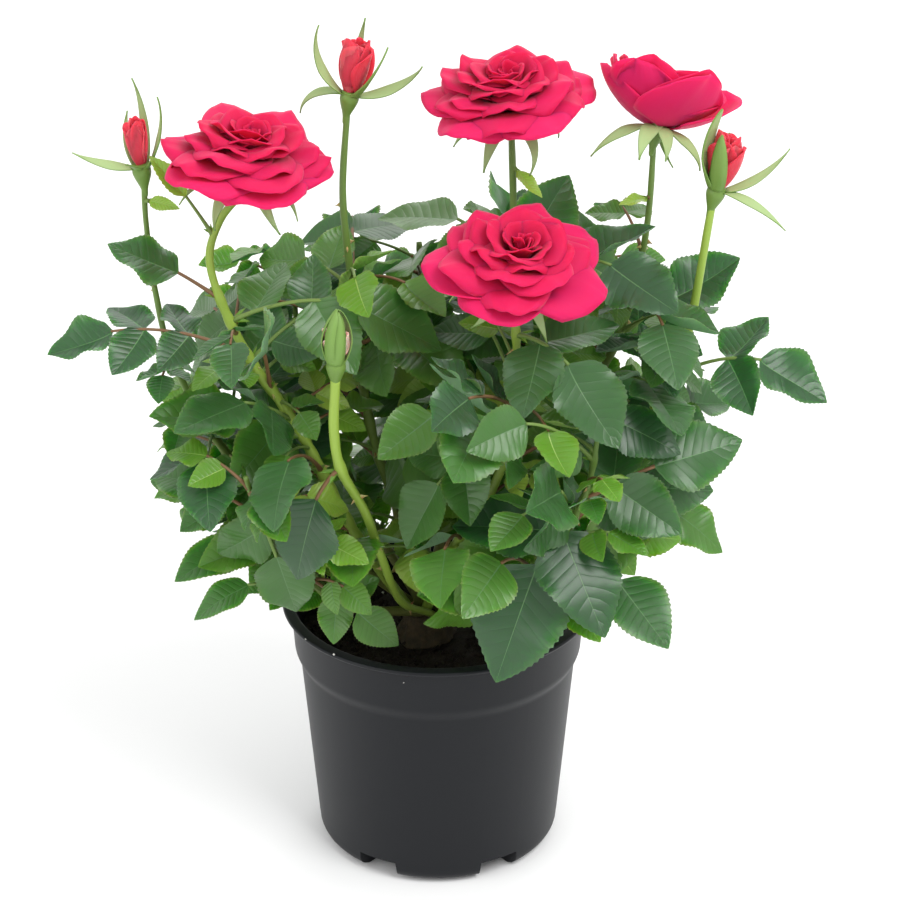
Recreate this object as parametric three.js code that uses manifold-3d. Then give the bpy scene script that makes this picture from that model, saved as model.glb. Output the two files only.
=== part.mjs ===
// A rose bush in a 12 cm black nursery pot: four open blooms, four buds and a crown of compound leaves.
// Millimetres, +Z up. The origin is the centre of the pot's underside, and -Y is the front.
import * as THREE from "three";
import { mergeVertices } from "three/addons/utils/BufferGeometryUtils.js";
import Module from "manifold-3d";

const wasm = await Module();
wasm.setup();

const UP = new THREE.Vector3(0, 0, 1);
const GAP = 0.3; // running gap between pieces that meet
const TURN = 2 * Math.PI;
const GOLDEN_TURN = THREE.MathUtils.degToRad(137.5);

const vector = (x, y, z) => new THREE.Vector3(x, y, z);
const degrees = THREE.MathUtils.degToRad;

// The pot, a thin moulded shell that stands on six feet
const POT = {
  height: 102,
  rimRadius: 60.2,
  rimThickness: 1.7,
  collarRadius: 56.8,
  collarFootRadius: 55.6,
  collarFootHeight: 82,
  stepHeight: 78.5,
  bodyTopRadius: 53.6,
  bodyFootRadius: 47.4,
  footRadius: 42,
  cornerHeight: 3.8,
  wall: 1.3,
  floorHeight: 9.8,
  recessHeight: 8.4,
  recessRadius: 36,
  feet: 6,
  notchHeight: 8.2,
  notchAngle: degrees(19.5),
  segments: 36,
};
const SOIL_TOP = 86;

// The woody foot that the canes fork from, in two rings
const TRUNK = { foot: vector(-5, -3, SOIL_TOP + GAP), top: vector(-4, -2, 97), flareRadius: 12, radius: 9.4 };
const FORK_RINGS = {
  outer: { radius: 7.4, slots: 9, first: degrees(-160), start: degrees(-180) },
  inner: { radius: 2.75, slots: 4, first: degrees(170), start: degrees(135) },
};

// Cane thickness, from the fork to the flower stalk
const CANE_FOOT_RADIUS = 1.8;
const CANE_TIP_RADIUS = 1.5;
const CANE_SIDES = 5;

// The crown's outline without its longest sprays: a barrel that draws in to its top, a little higher on the
// right
const CROWN = {
  halfWidth: 113,
  halfDepth: 98,
  shoulder: 212,
  top: 250,
  topSlope: 0.14,
  lowest: 92, // over the pot
  lowestOutside: 113,
};
const FRONT = vector(0, -0.9, 0.43); // from the crown to the side it is seen from
const LIGHT = vector(0, -0.5, 1); // where the leaves turn their faces
const FRONT_CANE_SHOWS = 4; // how far leaves keep to the side of the bare front cane, seen from there

// Leaves
const LEAF = {
  spread: degrees(62), // between the leaf stalk and a side leaflet
  firstPair: 0.46, // from the end leaflet's foot back to the first pair, in lengths of the end leaflet
  pairGap: 0.66, // between two pairs
  pairShare: [0.88, 0.78, 0.66], // side leaflets' length, from the tip back
  width: 0.74, // of the leaflet's length
  facing: 0.4, // how far they turn outwards as well
  fold: 0.13, // drop of the midrib under the margins, for each unit of half width
  curl: 0.13, // drop of the tip, for each unit of length
  stalkRadius: 0.85,
  stalkSection: [[-0.875, 0.5], [0.875, 0.5], [0, -1]], // its corners, across and up, in stalk radii
  rootWidth: 1.6, // of a side leaflet, along the stalk
};
const ELBOW_ROOM = 2.8; // between the points that stand for two leaves
const STEM_ROOM = 3.6; // between a leaf and the middle of a cane
const EDGE_ROOM = 2; // between a leaf and the pot's rim or the soil
const SPACE_OVERLAP = 50; // a mass's space ends where its own stem is this much further off than another's
const SHORTEST_STALK = 8;
const TRIES = 40;

// Each cane runs from its ring of the fork through these points to its flower or tip. join is how far along
// it the bare limb ends and the leafy shoot starts. leafy is the stretch with leaves, and count is how many
// leaves the seeded rule tries there.
const CANES = [
  {
    name: "left_bud", ring: "outer", join: 0.16, leafy: [0.18, 0.66],
    count: 9, seed: 11, flower: "bud_left",
    path: [[-45, 2, 126], [-78, -3, 163], [-96, -5, 200], [-102, -5, 230], [-104, -5, 256], [-104, -5, 271]],
  },
  {
    name: "left_bloom", ring: "outer", join: 0.12, leafy: [0.16, 0.8],
    count: 10, seed: 23, flower: "bloom_left",
    path: [
      [-30, -14, 134], [-50, -19, 180], [-69, -22, 214], [-80, -20, 244],
      [-77, -15, 260], [-68, -13, 271],
    ],
  },
  {
    name: "front_bud", ring: "outer", join: 0.6, leafy: [0.62, 0.72],
    count: 3, seed: 37, flower: "bud_front",
    path: [
      [-14, -23, 112], [-21, -35, 138], [-26, -46, 161], [-34, -56, 183],
      [-36, -59, 200], [-35, -60, 219],
    ],
  },
  {
    name: "tall_bud", ring: "inner", join: 0.13, leafy: [0.16, 0.72],
    count: 9, seed: 41, flower: "bud_tall",
    path: [[-15, 4, 135], [-24, 7, 165], [-30, 8, 205], [-32, 10, 232], [-34, 10, 262], [-32, 10, 293]],
  },
  {
    name: "back_bloom", ring: "inner", join: 0.13, leafy: [0.16, 0.8],
    count: 9, seed: 59, flower: "bloom_back",
    path: [[4, 9, 135], [15, 14, 165], [24, 15, 200], [28, 15, 230], [28, 15, 258], [27, 15, 284]],
  },
  {
    name: "front_bloom", ring: "inner", join: 0.16, leafy: [0.18, 0.82],
    count: 10, seed: 61, flower: "bloom_front",
    path: [[4, -17, 128], [17, -28, 154], [26, -35, 184], [28, -38, 212], [27, -38, 242]],
  },
  {
    name: "right_bloom", ring: "inner", join: 0.12, leafy: [0.16, 0.8],
    count: 10, seed: 75, flower: "bloom_right",
    path: [[20, 3, 130], [44, 6, 161], [64, 10, 197], [73, 10, 225], [77, 10, 252], [78, 10, 281]],
  },
  {
    name: "right_bud", ring: "outer", join: 0.14, leafy: [0.16, 0.74],
    count: 10, seed: 83, flower: "bud_right",
    path: [[24, -7, 113], [48, -12, 142], [74, -15, 178], [87, -15, 206], [92, -15, 225], [97, -15, 266]],
  },
  {
    name: "back_left", ring: "outer", join: 0.14, leafy: [0.18, 1],
    count: 10, seed: 97,
    path: [[-28, 24, 126], [-46, 44, 162], [-56, 56, 200], [-58, 62, 226]],
  },
  {
    name: "back_middle", ring: "outer", join: 0.14, leafy: [0.18, 1],
    count: 10, seed: 103,
    path: [[-5, 26, 122], [-4, 46, 158], [-5, 60, 196], [-7, 68, 222]],
  },
  {
    name: "back_right", ring: "outer", join: 0.14, leafy: [0.18, 1],
    count: 10, seed: 113,
    path: [[20, 24, 124], [40, 44, 160], [50, 58, 198], [54, 64, 224]],
  },
  {
    name: "front_right", ring: "outer", join: 0.16, leafy: [0.18, 1],
    count: 11, seed: 127,
    path: [[20, -28, 114], [40, -46, 142], [52, -56, 172], [56, -60, 198]],
  },
  {
    name: "front_left", ring: "outer", join: 0.2, leafy: [0.24, 1],
    count: 10, seed: 145,
    path: [[-32, -24, 110], [-52, -38, 134], [-64, -48, 162], [-68, -52, 178]],
  },
];

// The sprays that make the crown's outline: cane, place along it, tip, number of leaflets, end leaflet's
// length, arch and roll
const SPRAYS = [
  ["front_left", 0.86, [-51, -44, 112], 3, 30, 0.1, 0.1],
  ["front_left", 0.54, [-14, -50, 106], 3, 20, 0.1, 0.1],
  ["left_bloom", 0.66, [-138, -34, 219], 7, 25, 0.26, 0.1],
  ["right_bud", 0.66, [139, -38, 204], 5, 28, 0.36, 0.1],
  ["back_middle", 0.38, [-20, 94, 176], 5, 33, 0.26, 0.1],
  ["back_right", 0.38, [44, 93, 150], 5, 32, 0.36, 0.1],
  ["front_right", 0.70, [16, -82, 101], 3, 46, 0.36, 0.1],
  ["right_bud", 0.42, [110, -20, 133], 3, 27, 0.1, 0.1],
  ["left_bud", 0.22, [-96, -34, 133], 3, 29, 0.1, 0.1],
  ["front_right", 0.78, [108, -48, 190], 3, 34, 0.1, 0.1],
  ["left_bloom", 0.78, [-115, -20, 254], 3, 27, 0.1, 0.3],
  ["left_bloom", 0.46, [-101, -34, 197], 3, 33, 0.1, 0.1],
  ["front_left", 0.82, [-105, -20, 167], 3, 24, 0.1, 0.1],
  ["left_bloom", 0.58, [-63, -62, 233], 3, 36, 0.36, -0.1],
  ["right_bloom", 0.62, [111, 14, 234], 3, 30, 0.1, 0.1],
  ["left_bloom", 0.50, [-87, -58, 203], 3, 31, 0.26, 0.1],
  ["left_bloom", 0.38, [-60, -80, 180], 3, 32, 0.36, 0.3],
  ["front_bud", 0.74, [-56, -66, 134], 1, 34, 0.36, -0.1],
  ["right_bud", 0.50, [64, -62, 142], 3, 33, 0.36, -0.1],
  ["front_bloom", 0.90, [65, -72, 194], 3, 34, 0.36, 0.1],
  ["front_bloom", 0.66, [6, -94, 201], 3, 36, 0.36, -0.1],
  ["front_right", 0.70, [36, -94, 188], 3, 32, 0.36, -0.1],
  ["left_bloom", 0.17, [-33, -64, 150], 3, 31, 0.26, 0.1],
  ["front_right", 0.26, [1, -68, 140], 3, 32, 0.36, -0.3],
  ["front_bloom", 0.62, [-18, -56, 147], 3, 27, 0.36, 0.1],
  ["back_bloom", 0.62, [46, 34, 257], 3, 34, 0.26, 0.1],
  ["right_bloom", 0.54, [57, 40, 244], 3, 32, 0.1, 0.1],
  ["back_middle", 0.90, [-12, 0, 242], 3, 33, 0.1, 0.1],
  ["back_bloom", 0.74, [-20, 30, 251], 3, 32, 0.26, 0.1],
];

// Blooms: which way each faces, its radius, and how far it has opened
const BLOOMS = [
  { name: "bloom_left", facing: [0.19, -0.22, 1], radius: 30.5, open: 1, seed: 7 },
  { name: "bloom_back", facing: [-0.07, -0.21, 1], radius: 31, open: 0.95, seed: 17 },
  { name: "bloom_front", facing: [0.1, -0.35, 1], radius: 32, open: 0.95, seed: 27 },
  { name: "bloom_right", facing: [0.22, 0.17, 1], radius: 29, open: 0.4, seed: 43 },
];
// Rings of petals, from the outside in, in bloom radii: reach and height of the margin, the bend before it
// on its under and upper sides, and the valley inside it
const PETAL_RINGS = [
  { reach: 1.0, lift: 0.2, under: [0.62, 0.12], upper: [0.8, 0.36], valley: [0.66, 0.3] },
  { reach: 0.78, lift: 0.46, upper: [0.6, 0.56], valley: [0.46, 0.42] },
  { reach: 0.52, lift: 0.64, upper: [0.38, 0.68], valley: [0.27, 0.52] },
];
const PETALS = 5;
const PETAL_EDGE = [0.035, 0.045]; // how far the margin's upper edge lies in from its lower one, and over it
const CUPPED = { drawIn: 0.3, rise: 0.8, valley: 0.5 }; // how a half-open bloom's petals draw in and rise
const PETAL_NOTCH = 0.15; // how far the margin draws in between two petals, as a share of its reach
const PETAL_LAP = 0.07; // how far one edge of a petal stands over its neighbour
const HEART = { reach: 0.18, lift: 0.73, middle: 0.7 };
const HIP_RADIUS = 3.6;
const HIP_HEIGHT = 7;

// Buds: length and radius of the closed petals, which way they point, and each sepal's bearing and lean
const BUDS = [
  {
    name: "bud_left", facing: [-0.1, 0, 1], length: 19, radius: 4.6,
    sepals: [[185, 1.3], [130, 0.2], [60, 0.1], [-20, 0.12], [-105, 0.5]],
  },
  {
    name: "bud_tall", facing: [0.16, 0, 1], length: 20, radius: 6,
    sepals: [[180, 0.8], [110, 0.5], [30, 0.45], [-25, 0.9], [-100, 1.3]],
  },
  {
    name: "bud_right", facing: [0.12, 0, 1], length: 20, radius: 5.8,
    sepals: [[5, 0.8], [-25, 1.75], [180, 0.06], [95, 0.15], [-110, 0.1]],
  },
  {
    name: "bud_front", facing: [0.06, 0, 1], length: 16, radius: 5.2,
    sepals: [[0, 0.04], [72, 0.04], [144, 0.04], [216, 0.04], [288, 0.04]],
  },
];
const BLOOM_SEPALS = [[20, 1.9], [92, 2.1], [160, 1.75], [232, 2.3], [304, 2.1]];
const SEPAL_LENGTH = 22;
const SEPAL_HALF_WIDTH = 0.13; // of its length

// A seeded source of numbers from 0 to 1, the same on every run
function seeded(seed) {
  let state = seed >>> 0;
  return () => {
    state = (state + 0x6d2b79f5) >>> 0;
    let mixed = Math.imul(state ^ (state >>> 15), state | 1);
    mixed ^= mixed + Math.imul(mixed ^ (mixed >>> 7), mixed | 61);
    return ((mixed ^ (mixed >>> 14)) >>> 0) / 4294967296;
  };
}

// A closed geometry as a solid that can be joined and cut, turned right side out
function solidOf(geometry) {
  const bare = new THREE.BufferGeometry().setAttribute("position", geometry.getAttribute("position"));
  bare.setIndex(geometry.index);
  const merged = mergeVertices(bare, 1e-4);
  const corners = merged.index.array;
  const triangles = [];
  for (let i = 0; i < corners.length; i += 3) {
    const [a, b, c] = [corners[i], corners[i + 1], corners[i + 2]];
    if (a !== b && b !== c && c !== a) triangles.push(a, b, c);
  }
  const make = (list) =>
    new wasm.Manifold(
      new wasm.Mesh({
        numProp: 3,
        vertProperties: new Float32Array(merged.attributes.position.array),
        triVerts: new Uint32Array(list),
      }),
    );
  const solid = make(triangles);
  return solid.volume() < 0 ? make(triangles.reverse()) : solid;
}

// Joins solids into one body and drops any loose scrap
function joined(solids) {
  const bodies = wasm.Manifold.union(solids).decompose();
  return bodies.reduce((largest, body) => (body.volume() > largest.volume() ? body : largest));
}

function geometryOf(solid) {
  const { vertProperties, triVerts } = solid.getMesh();
  const geometry = new THREE.BufferGeometry();
  geometry.setAttribute("position", new THREE.BufferAttribute(vertProperties, 3));
  geometry.setIndex(new THREE.BufferAttribute(triVerts, 1));
  geometry.computeVertexNormals();
  return geometry;
}

function geometryFrom(points, faces) {
  const geometry = new THREE.BufferGeometry();
  geometry.setAttribute("position", new THREE.Float32BufferAttribute(points.flatMap((p) => p.toArray()), 3));
  geometry.setIndex(faces);
  return geometry;
}

// A tapering limb with flat ends along a stretch of a curve
function limb(curve, from, to, radiusAt, sides, steps) {
  const frames = curve.computeFrenetFrames(100);
  const points = [];
  const faces = [];
  for (let i = 0; i <= steps; i++) {
    const share = Math.min(to, from + ((to - from) * i) / steps);
    const frame = Math.round(share * 100);
    const radius = radiusAt(i / steps);
    for (let k = 0; k < sides; k++) {
      const angle = (TURN * k) / sides;
      const rim = curve.getPointAt(share).addScaledVector(frames.normals[frame], Math.cos(angle) * radius);
      points.push(rim.addScaledVector(frames.binormals[frame], Math.sin(angle) * radius));
    }
  }
  for (let i = 0; i < steps; i++)
    for (let k = 0; k < sides; k++) {
      const [a, b] = [i * sides + k, i * sides + ((k + 1) % sides)];
      faces.push(a, b, b + sides, a, b + sides, a + sides);
    }
  const last = steps * sides;
  for (let k = 1; k < sides - 1; k++) faces.push(0, k + 1, k, last, last + k, last + k + 1);
  return solidOf(geometryFrom(points, faces));
}

// A solid of revolution about +Z from a profile of [radius, height]
function turned(profile, segments) {
  const outline = profile.map(([radius, height]) => new THREE.Vector2(radius, height));
  return solidOf(new THREE.LatheGeometry(outline, segments).rotateX(Math.PI / 2));
}

// Places a solid that was made about +Z so that +Z points along a direction and its origin lands on a point
function placed(solid, at, facing, scale = 1) {
  const turn = new THREE.Quaternion().setFromUnitVectors(UP, facing.clone().normalize());
  const matrix = new THREE.Matrix4().compose(at, turn, vector(scale, scale, scale));
  return solid.transform(matrix.elements);
}

function makePot() {
  const { wall } = POT;
  const outside = [
    [POT.recessRadius, POT.recessHeight],
    [POT.recessRadius + 1, 0],
    [POT.footRadius, 0],
    [POT.footRadius + 3.4, 1.6],
    [POT.bodyFootRadius, POT.cornerHeight],
    [POT.bodyTopRadius, POT.stepHeight],
    [POT.collarFootRadius, POT.collarFootHeight],
    [POT.collarRadius, POT.height - POT.rimThickness - 1.2],
    [POT.rimRadius - 0.5, POT.height - POT.rimThickness],
    [POT.rimRadius, POT.height - POT.rimThickness / 2],
    [POT.rimRadius - 0.5, POT.height],
  ];
  const inside = [
    [POT.collarRadius - wall, POT.height],
    [POT.collarFootRadius - wall, POT.collarFootHeight + 0.4],
    [POT.bodyTopRadius - wall, POT.stepHeight + 0.4],
    [POT.bodyFootRadius - wall, POT.floorHeight + 3],
    [POT.bodyFootRadius - wall - 3, POT.floorHeight],
    [0, POT.floorHeight],
    [0, POT.recessHeight],
  ];
  const shell = turned([...outside, ...inside, outside[0]], POT.segments);
  const notchWidth = 2 * POT.bodyFootRadius * Math.sin(POT.notchAngle / 2);
  const notches = [];
  for (let k = 0; k < POT.feet; k++) {
    const depth = POT.bodyFootRadius - POT.recessRadius;
    const notch = new THREE.BoxGeometry(notchWidth, depth + 6, 2 * POT.notchHeight);
    notch.translate(0, POT.recessRadius + depth / 2 + 2, 0);
    notch.rotateZ((TURN * (k + 0.5)) / POT.feet);
    notches.push(solidOf(notch));
  }
  return shell.subtract(wasm.Manifold.union(notches));
}

function makeSoil() {
  const side = POT.wall + GAP;
  const profile = [
    [0, POT.floorHeight + GAP],
    [POT.bodyFootRadius - side - 3.2, POT.floorHeight + GAP],
    [POT.bodyFootRadius - side - 0.2, POT.floorHeight + 3.4],
    [POT.bodyTopRadius - side, POT.stepHeight],
    [POT.collarFootRadius - side - 0.2, POT.collarFootHeight + 0.6],
    [POT.collarFootRadius - side, SOIL_TOP - 2.2],
    [TRUNK.flareRadius * 1.5, SOIL_TOP],
    [0, SOIL_TOP],
  ];
  return turned(profile, POT.segments);
}

// A closed body from rings of points that run round +Z, from the pole at its foot to the pole at its head
function ringedSolid(foot, rings, head) {
  const count = rings[0].length;
  const points = [foot, ...rings.flat(), head];
  const faces = [];
  for (let k = 0; k < count; k++) {
    const next = (k + 1) % count;
    faces.push(0, 1 + next, 1 + k);
    for (let row = 0; row < rings.length - 1; row++) {
      const [a, b] = [1 + row * count + k, 1 + row * count + next];
      faces.push(a, b, b + count, a, b + count, a + count);
    }
    const last = 1 + (rings.length - 1) * count;
    faces.push(last + k, last + next, points.length - 1);
  }
  return solidOf(geometryFrom(points, faces));
}

const ringAt = (count, pointAt) => Array.from({ length: count }, (_, k) => pointAt(k, (TURN * k) / count));
const evenRing = (count, radius, height) =>
  ringAt(count, (k, angle) => vector(Math.cos(angle) * radius, Math.sin(angle) * radius, height));

// A short leaning stem with a flared foot, cut flat where it stands on the soil and where the canes leave
// it
function makeTrunk() {
  const sections = [0, 0.12, 0.35, 0.65, 0.92, 1].map((share) => {
    const centre = TRUNK.foot.clone().lerp(TRUNK.top, share);
    const shoulder = share === 1 ? 0.92 : 1;
    const radius = (TRUNK.radius + (TRUNK.flareRadius - TRUNK.radius) * (1 - share) ** 3) * shoulder;
    return ringAt(12, (k, angle) => {
      const swell = 1 + 0.06 * Math.sin(3 * angle + 1) + 0.04 * Math.sin(5 * angle);
      const out = vector(Math.cos(angle), Math.sin(angle), 0).multiplyScalar(radius * swell);
      return out.add(centre);
    });
  });
  return ringedSolid(TRUNK.foot, sections, TRUNK.top);
}

// Sets out where each cane leaves the fork: in order round its ring, towards its next point, with its flat
// foot just clear of the trunk at the side that it leans to
for (const [name, ring] of Object.entries(FORK_RINGS)) {
  const bearing = (cane) => Math.atan2(cane.path[0][1] - TRUNK.top.y, cane.path[0][0] - TRUNK.top.x);
  const order = (cane) => (((bearing(cane) - ring.start) % TURN) + TURN) % TURN;
  const sorted = CANES.filter((cane) => cane.ring === name).sort((a, b) => order(a) - order(b));
  sorted.forEach((cane, index) => {
    const azimuth = ring.first + (TURN * index) / ring.slots;
    const foot = vector(Math.cos(azimuth), Math.sin(azimuth), 0).multiplyScalar(ring.radius).add(TRUNK.top);
    const lean = vector(...cane.path[0]).sub(foot).normalize();
    foot.z += GAP + CANE_FOOT_RADIUS * Math.sqrt(1 - lean.z ** 2) + 0.25;
    cane.points = [foot, ...cane.path.map((p) => vector(...p))];
  });
}

// The thin line that stands for a stalk or a stem
function threadOf(points) {
  const centre = points[0].clone().lerp(points[points.length - 1], 0.5);
  const radius = Math.max(...points.map((point) => point.distanceTo(centre)));
  return { points, edges: points.slice(1).map((point, i) => [points[i], point]), faces: [], centre, radius };
}

const pointsAlong = (curve, steps) =>
  Array.from({ length: steps + 1 }, (_, i) => curve.getPointAt(i / steps));
const caneRadius = (share) => CANE_FOOT_RADIUS + (CANE_TIP_RADIUS - CANE_FOOT_RADIUS) * share;

for (const cane of CANES) {
  cane.curve = new THREE.CatmullRomCurve3(cane.points, false, "catmullrom", 0.5);
  cane.length = cane.curve.getLength();
  cane.leaves = [];
  cane.axis = pointsAlong(cane.curve, 12);
  cane.thread = threadOf(pointsAlong(cane.curve, 80));
}

// Distance from a point to the line through a list of points
function distanceTo(point, line) {
  let nearest = Infinity;
  for (let i = 1; i < line.length; i++) {
    const along = line[i].clone().sub(line[i - 1]);
    const from = point.clone().sub(line[i - 1]);
    const share = Math.min(1, Math.max(0, from.dot(along) / along.lengthSq()));
    nearest = Math.min(nearest, from.addScaledVector(along, -share).length());
  }
  return nearest;
}

// How a compound leaf lies between its root and tip: its stalk, and leaflets with root, direction, normal
// and length
function layLeaf({ root, tip, leaflets, size, arch, roll }) {
  const chord = tip.clone().sub(root);
  const length = chord.length();
  const outward = vector(tip.x, tip.y, 0).normalize();
  const bend = root.clone().addScaledVector(chord, 0.5).addScaledVector(UP, arch * length);
  const line = new THREE.QuadraticBezierCurve3(root, bend, tip);
  const run = line.getLength();
  const end = 1 - size / run;
  const frameAt = (share) => {
    const along = line.getTangent(share);
    const normal = LIGHT.clone().addScaledVector(outward, LEAF.facing);
    normal.addScaledVector(along, -normal.dot(along)).normalize().applyAxisAngle(along, roll);
    return { along, normal, side: along.clone().cross(normal) };
  };
  const foot = line.getPoint(end);
  const ahead = tip.clone().sub(foot).normalize();
  const laid = [{ share: end, hand: 1, root: foot, along: ahead, normal: frameAt(end).normal, length: size }];
  for (let pair = 0; pair < (leaflets - 1) / 2; pair++) {
    const share = end - ((LEAF.firstPair + LEAF.pairGap * pair) * size) / run;
    if (share * run < 6) break;
    const { along, normal, side } = frameAt(share);
    for (const hand of [1, -1]) {
      const heading = along.clone().multiplyScalar(Math.cos(LEAF.spread));
      heading.addScaledVector(side, hand * Math.sin(LEAF.spread)).addScaledVector(normal, -0.12).normalize();
      laid.push({
        share, hand, root: line.getPoint(share), along: heading,
        normal: normal.clone().addScaledVector(side, 0.2 * hand), length: size * LEAF.pairShare[pair],
      });
    }
  }
  for (const blade of laid) {
    blade.normal.addScaledVector(blade.along, -blade.normal.dot(blade.along)).normalize();
    blade.side = blade.along.clone().cross(blade.normal);
  }
  return { line, end, frameAt, laid };
}

// Half width of a leaflet at a share of its length, ovate with a drawn-out tip
const bladeHalfWidth = (share) => 0.5 * LEAF.width * Math.sin(Math.PI * share ** 0.72) ** 0.85;

// A point of a leaflet: along its midrib by share, and across it from -1 to 1
function bladePoint(blade, share, across) {
  const half = bladeHalfWidth(share) * blade.length;
  const height = LEAF.fold * (Math.abs(across) - 0.5) * half - LEAF.curl * blade.length * share ** 2;
  return blade.root
    .clone()
    .addScaledVector(blade.along, blade.length * share)
    .addScaledVector(blade.side, across * half)
    .addScaledVector(blade.normal, height);
}

const BLADE_SHARES = [0.22, 0.62];
const BLADE_MIDDLE = 0.42;

function bladeOutline(blade) {
  const side = (across) => BLADE_SHARES.map((share) => bladePoint(blade, share, across));
  return [bladePoint(blade, 0, 0), ...side(1), bladePoint(blade, 1, 0), ...side(-1).reverse()];
}

// A compound leaf as one closed body. The stalk is three-sided, flat side up, and each leaflet grows out of
// one of its triangles: first to a wide section with two margins and a midrib, then to a second, then to
// its tip.
function leafSolid(leaf) {
  const points = [];
  const faces = [];
  const stations = [...new Set([0, ...leaf.kept.map((blade) => blade.share)])].sort((a, b) => a - b);
  const half = (0.5 * LEAF.rootWidth) / leaf.line.getLength();
  const isEnd = (share) => share === 0 || share === leaf.end;
  const sections = stations.flatMap((share) => (isEnd(share) ? [share] : [share - half, share + half]));
  const rings = sections.map((share) => {
    const { normal, side } = leaf.frameAt(share);
    const radius = LEAF.stalkRadius * (1.3 - 0.4 * share);
    return LEAF.stalkSection.map(([across, up]) => {
      const corner = leaf.line.getPoint(share).addScaledVector(side, across * radius);
      points.push(corner.addScaledVector(normal, up * radius));
      return points.length - 1;
    });
  });
  faces.push(rings[0][2], rings[0][1], rings[0][0]);
  const grow = (blade, triangle) => {
    let last = triangle;
    for (const share of BLADE_SHARES) {
      points.push(bladePoint(blade, share, -1), bladePoint(blade, share, 1), bladePoint(blade, share, 0));
      const next = [points.length - 3, points.length - 2, points.length - 1];
      for (let k = 0; k < 3; k++) {
        const [a, b] = [k, (k + 1) % 3];
        faces.push(last[a], last[b], next[b], last[a], next[b], next[a]);
      }
      last = next;
    }
    points.push(bladePoint(blade, 1, 0));
    for (let k = 0; k < 3; k++) faces.push(last[k], last[(k + 1) % 3], points.length - 1);
  };
  for (let i = 1; i < rings.length; i++) {
    const [[left, right, low], [nextLeft, nextRight, nextLow]] = [rings[i - 1], rings[i]];
    faces.push(left, right, nextRight, left, nextRight, nextLeft);
    const here = (blade) => Math.abs(blade.share - half - sections[i - 1]) < 1e-9 && !isEnd(blade.share);
    const onLeft = leaf.kept.find((blade) => here(blade) && blade.hand < 0);
    const onRight = leaf.kept.find((blade) => here(blade) && blade.hand > 0);
    if (onLeft) grow(onLeft, [left, nextLeft, low]);
    else faces.push(left, nextLeft, low);
    faces.push(low, nextLeft, nextLow);
    if (onRight) grow(onRight, [nextRight, right, low]);
    else faces.push(nextRight, right, low);
    faces.push(nextRight, low, nextLow);
  }
  const [left, right, low] = rings[rings.length - 1];
  grow(leaf.kept[0], [left, right, low]);
  return solidOf(geometryFrom(points, faces));
}

// The sheet that stands for a leaflet when two leaves are kept apart: its points, its edges and its faces
function sheetOf(blade) {
  const outline = bladeOutline(blade);
  const middle = bladePoint(blade, BLADE_MIDDLE, 0);
  const above = bladePoint(blade, BLADE_MIDDLE, 1).lerp(bladePoint(blade, BLADE_MIDDLE, -1), 0.5);
  const points = [middle];
  const edges = [];
  const faces = [];
  outline.forEach((corner, i) => {
    const next = outline[(i + 1) % outline.length];
    if (i) points.push(corner);
    const afoot = i === 0 || i === outline.length - 1;
    if (!afoot) points.push(corner.clone().lerp(next, 1 / 3), corner.clone().lerp(next, 2 / 3));
    points.push(corner.clone().lerp(middle, 0.35), corner.clone().lerp(middle, 0.7));
    points.push(corner.clone().lerp(next, 0.5).lerp(middle, 0.4));
    edges.push([corner, next], [corner, middle]);
    faces.push([corner, next, middle], [corner, next, above]);
  });
  return { points, edges, faces, centre: middle, radius: 0.66 * blade.length };
}

// Whether the straight line between two points passes through a triangle
function pierces([from, to], [a, b, c]) {
  const run = to.clone().sub(from);
  const [ab, ac] = [b.clone().sub(a), c.clone().sub(a)];
  const normal = ab.clone().cross(ac);
  const rate = run.dot(normal);
  if (Math.abs(rate) < 1e-9) return false;
  const share = a.clone().sub(from).dot(normal) / rate;
  if (share < 0 || share > 1) return false;
  const hit = from.clone().addScaledVector(run, share).sub(a);
  const u = hit.clone().cross(ac).dot(normal) / normal.lengthSq();
  const v = ab.clone().cross(hit).dot(normal) / normal.lengthSq();
  return u >= 0 && v >= 0 && u + v <= 1;
}

// Whether two sheets or stalks come within reach of each other or cross
function clash(a, b, room) {
  if (a.centre.distanceTo(b.centre) > a.radius + b.radius + room) return false;
  const nearB = a.points.filter((p) => p.distanceToSquared(b.centre) < (b.radius + room) ** 2);
  if (!nearB.length) return false;
  const nearA = b.points.filter((q) => q.distanceToSquared(a.centre) < (a.radius + room) ** 2);
  if (nearB.some((p) => nearA.some((q) => p.distanceToSquared(q) < room * room))) return true;
  if (a.edges.some((edge) => b.faces.some((face) => pierces(edge, face)))) return true;
  return b.edges.some((edge) => a.faces.some((face) => pierces(edge, face)));
}

const keepOut = []; // the spheres that flowers fill
const occupied = []; // the sheets and threads of the leaves so far

// Whether a point stands clear of the pot's rim, the soil, the trunk and the flowers
function standsClear(point, named) {
  const radius = Math.hypot(point.x, point.y);
  const overRim = radius > POT.collarRadius - 2 * EDGE_ROOM && radius < POT.rimRadius + 1.5 * EDGE_ROOM;
  if (point.z < SOIL_TOP + EDGE_ROOM || (overRim && point.z < POT.height + EDGE_ROOM)) return false;
  if (distanceTo(point, [TRUNK.foot, TRUNK.top]) < TRUNK.flareRadius + 1) return false;
  return named || keepOut.every(({ centre, radius: size }) => point.distanceTo(centre) > size);
}

// Whether a point is in a cane's own space
function inOwnSpace(point, cane) {
  const own = distanceTo(point, cane.axis);
  return CANES.every((other) => other === cane || own < SPACE_OVERLAP + distanceTo(point, other.axis));
}

function inCrown({ x, y, z }) {
  const top = CROWN.top + CROWN.topSlope * x;
  if (z > top || z < (Math.hypot(x, y) > POT.collarRadius ? CROWN.lowestOutside : CROWN.lowest)) return false;
  const drawIn = Math.max(0, z - CROWN.shoulder) / (top - CROWN.shoulder);
  return Math.hypot(x / CROWN.halfWidth, y / CROWN.halfDepth) < Math.sqrt(1 - 0.5 * drawIn ** 2);
}

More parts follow.
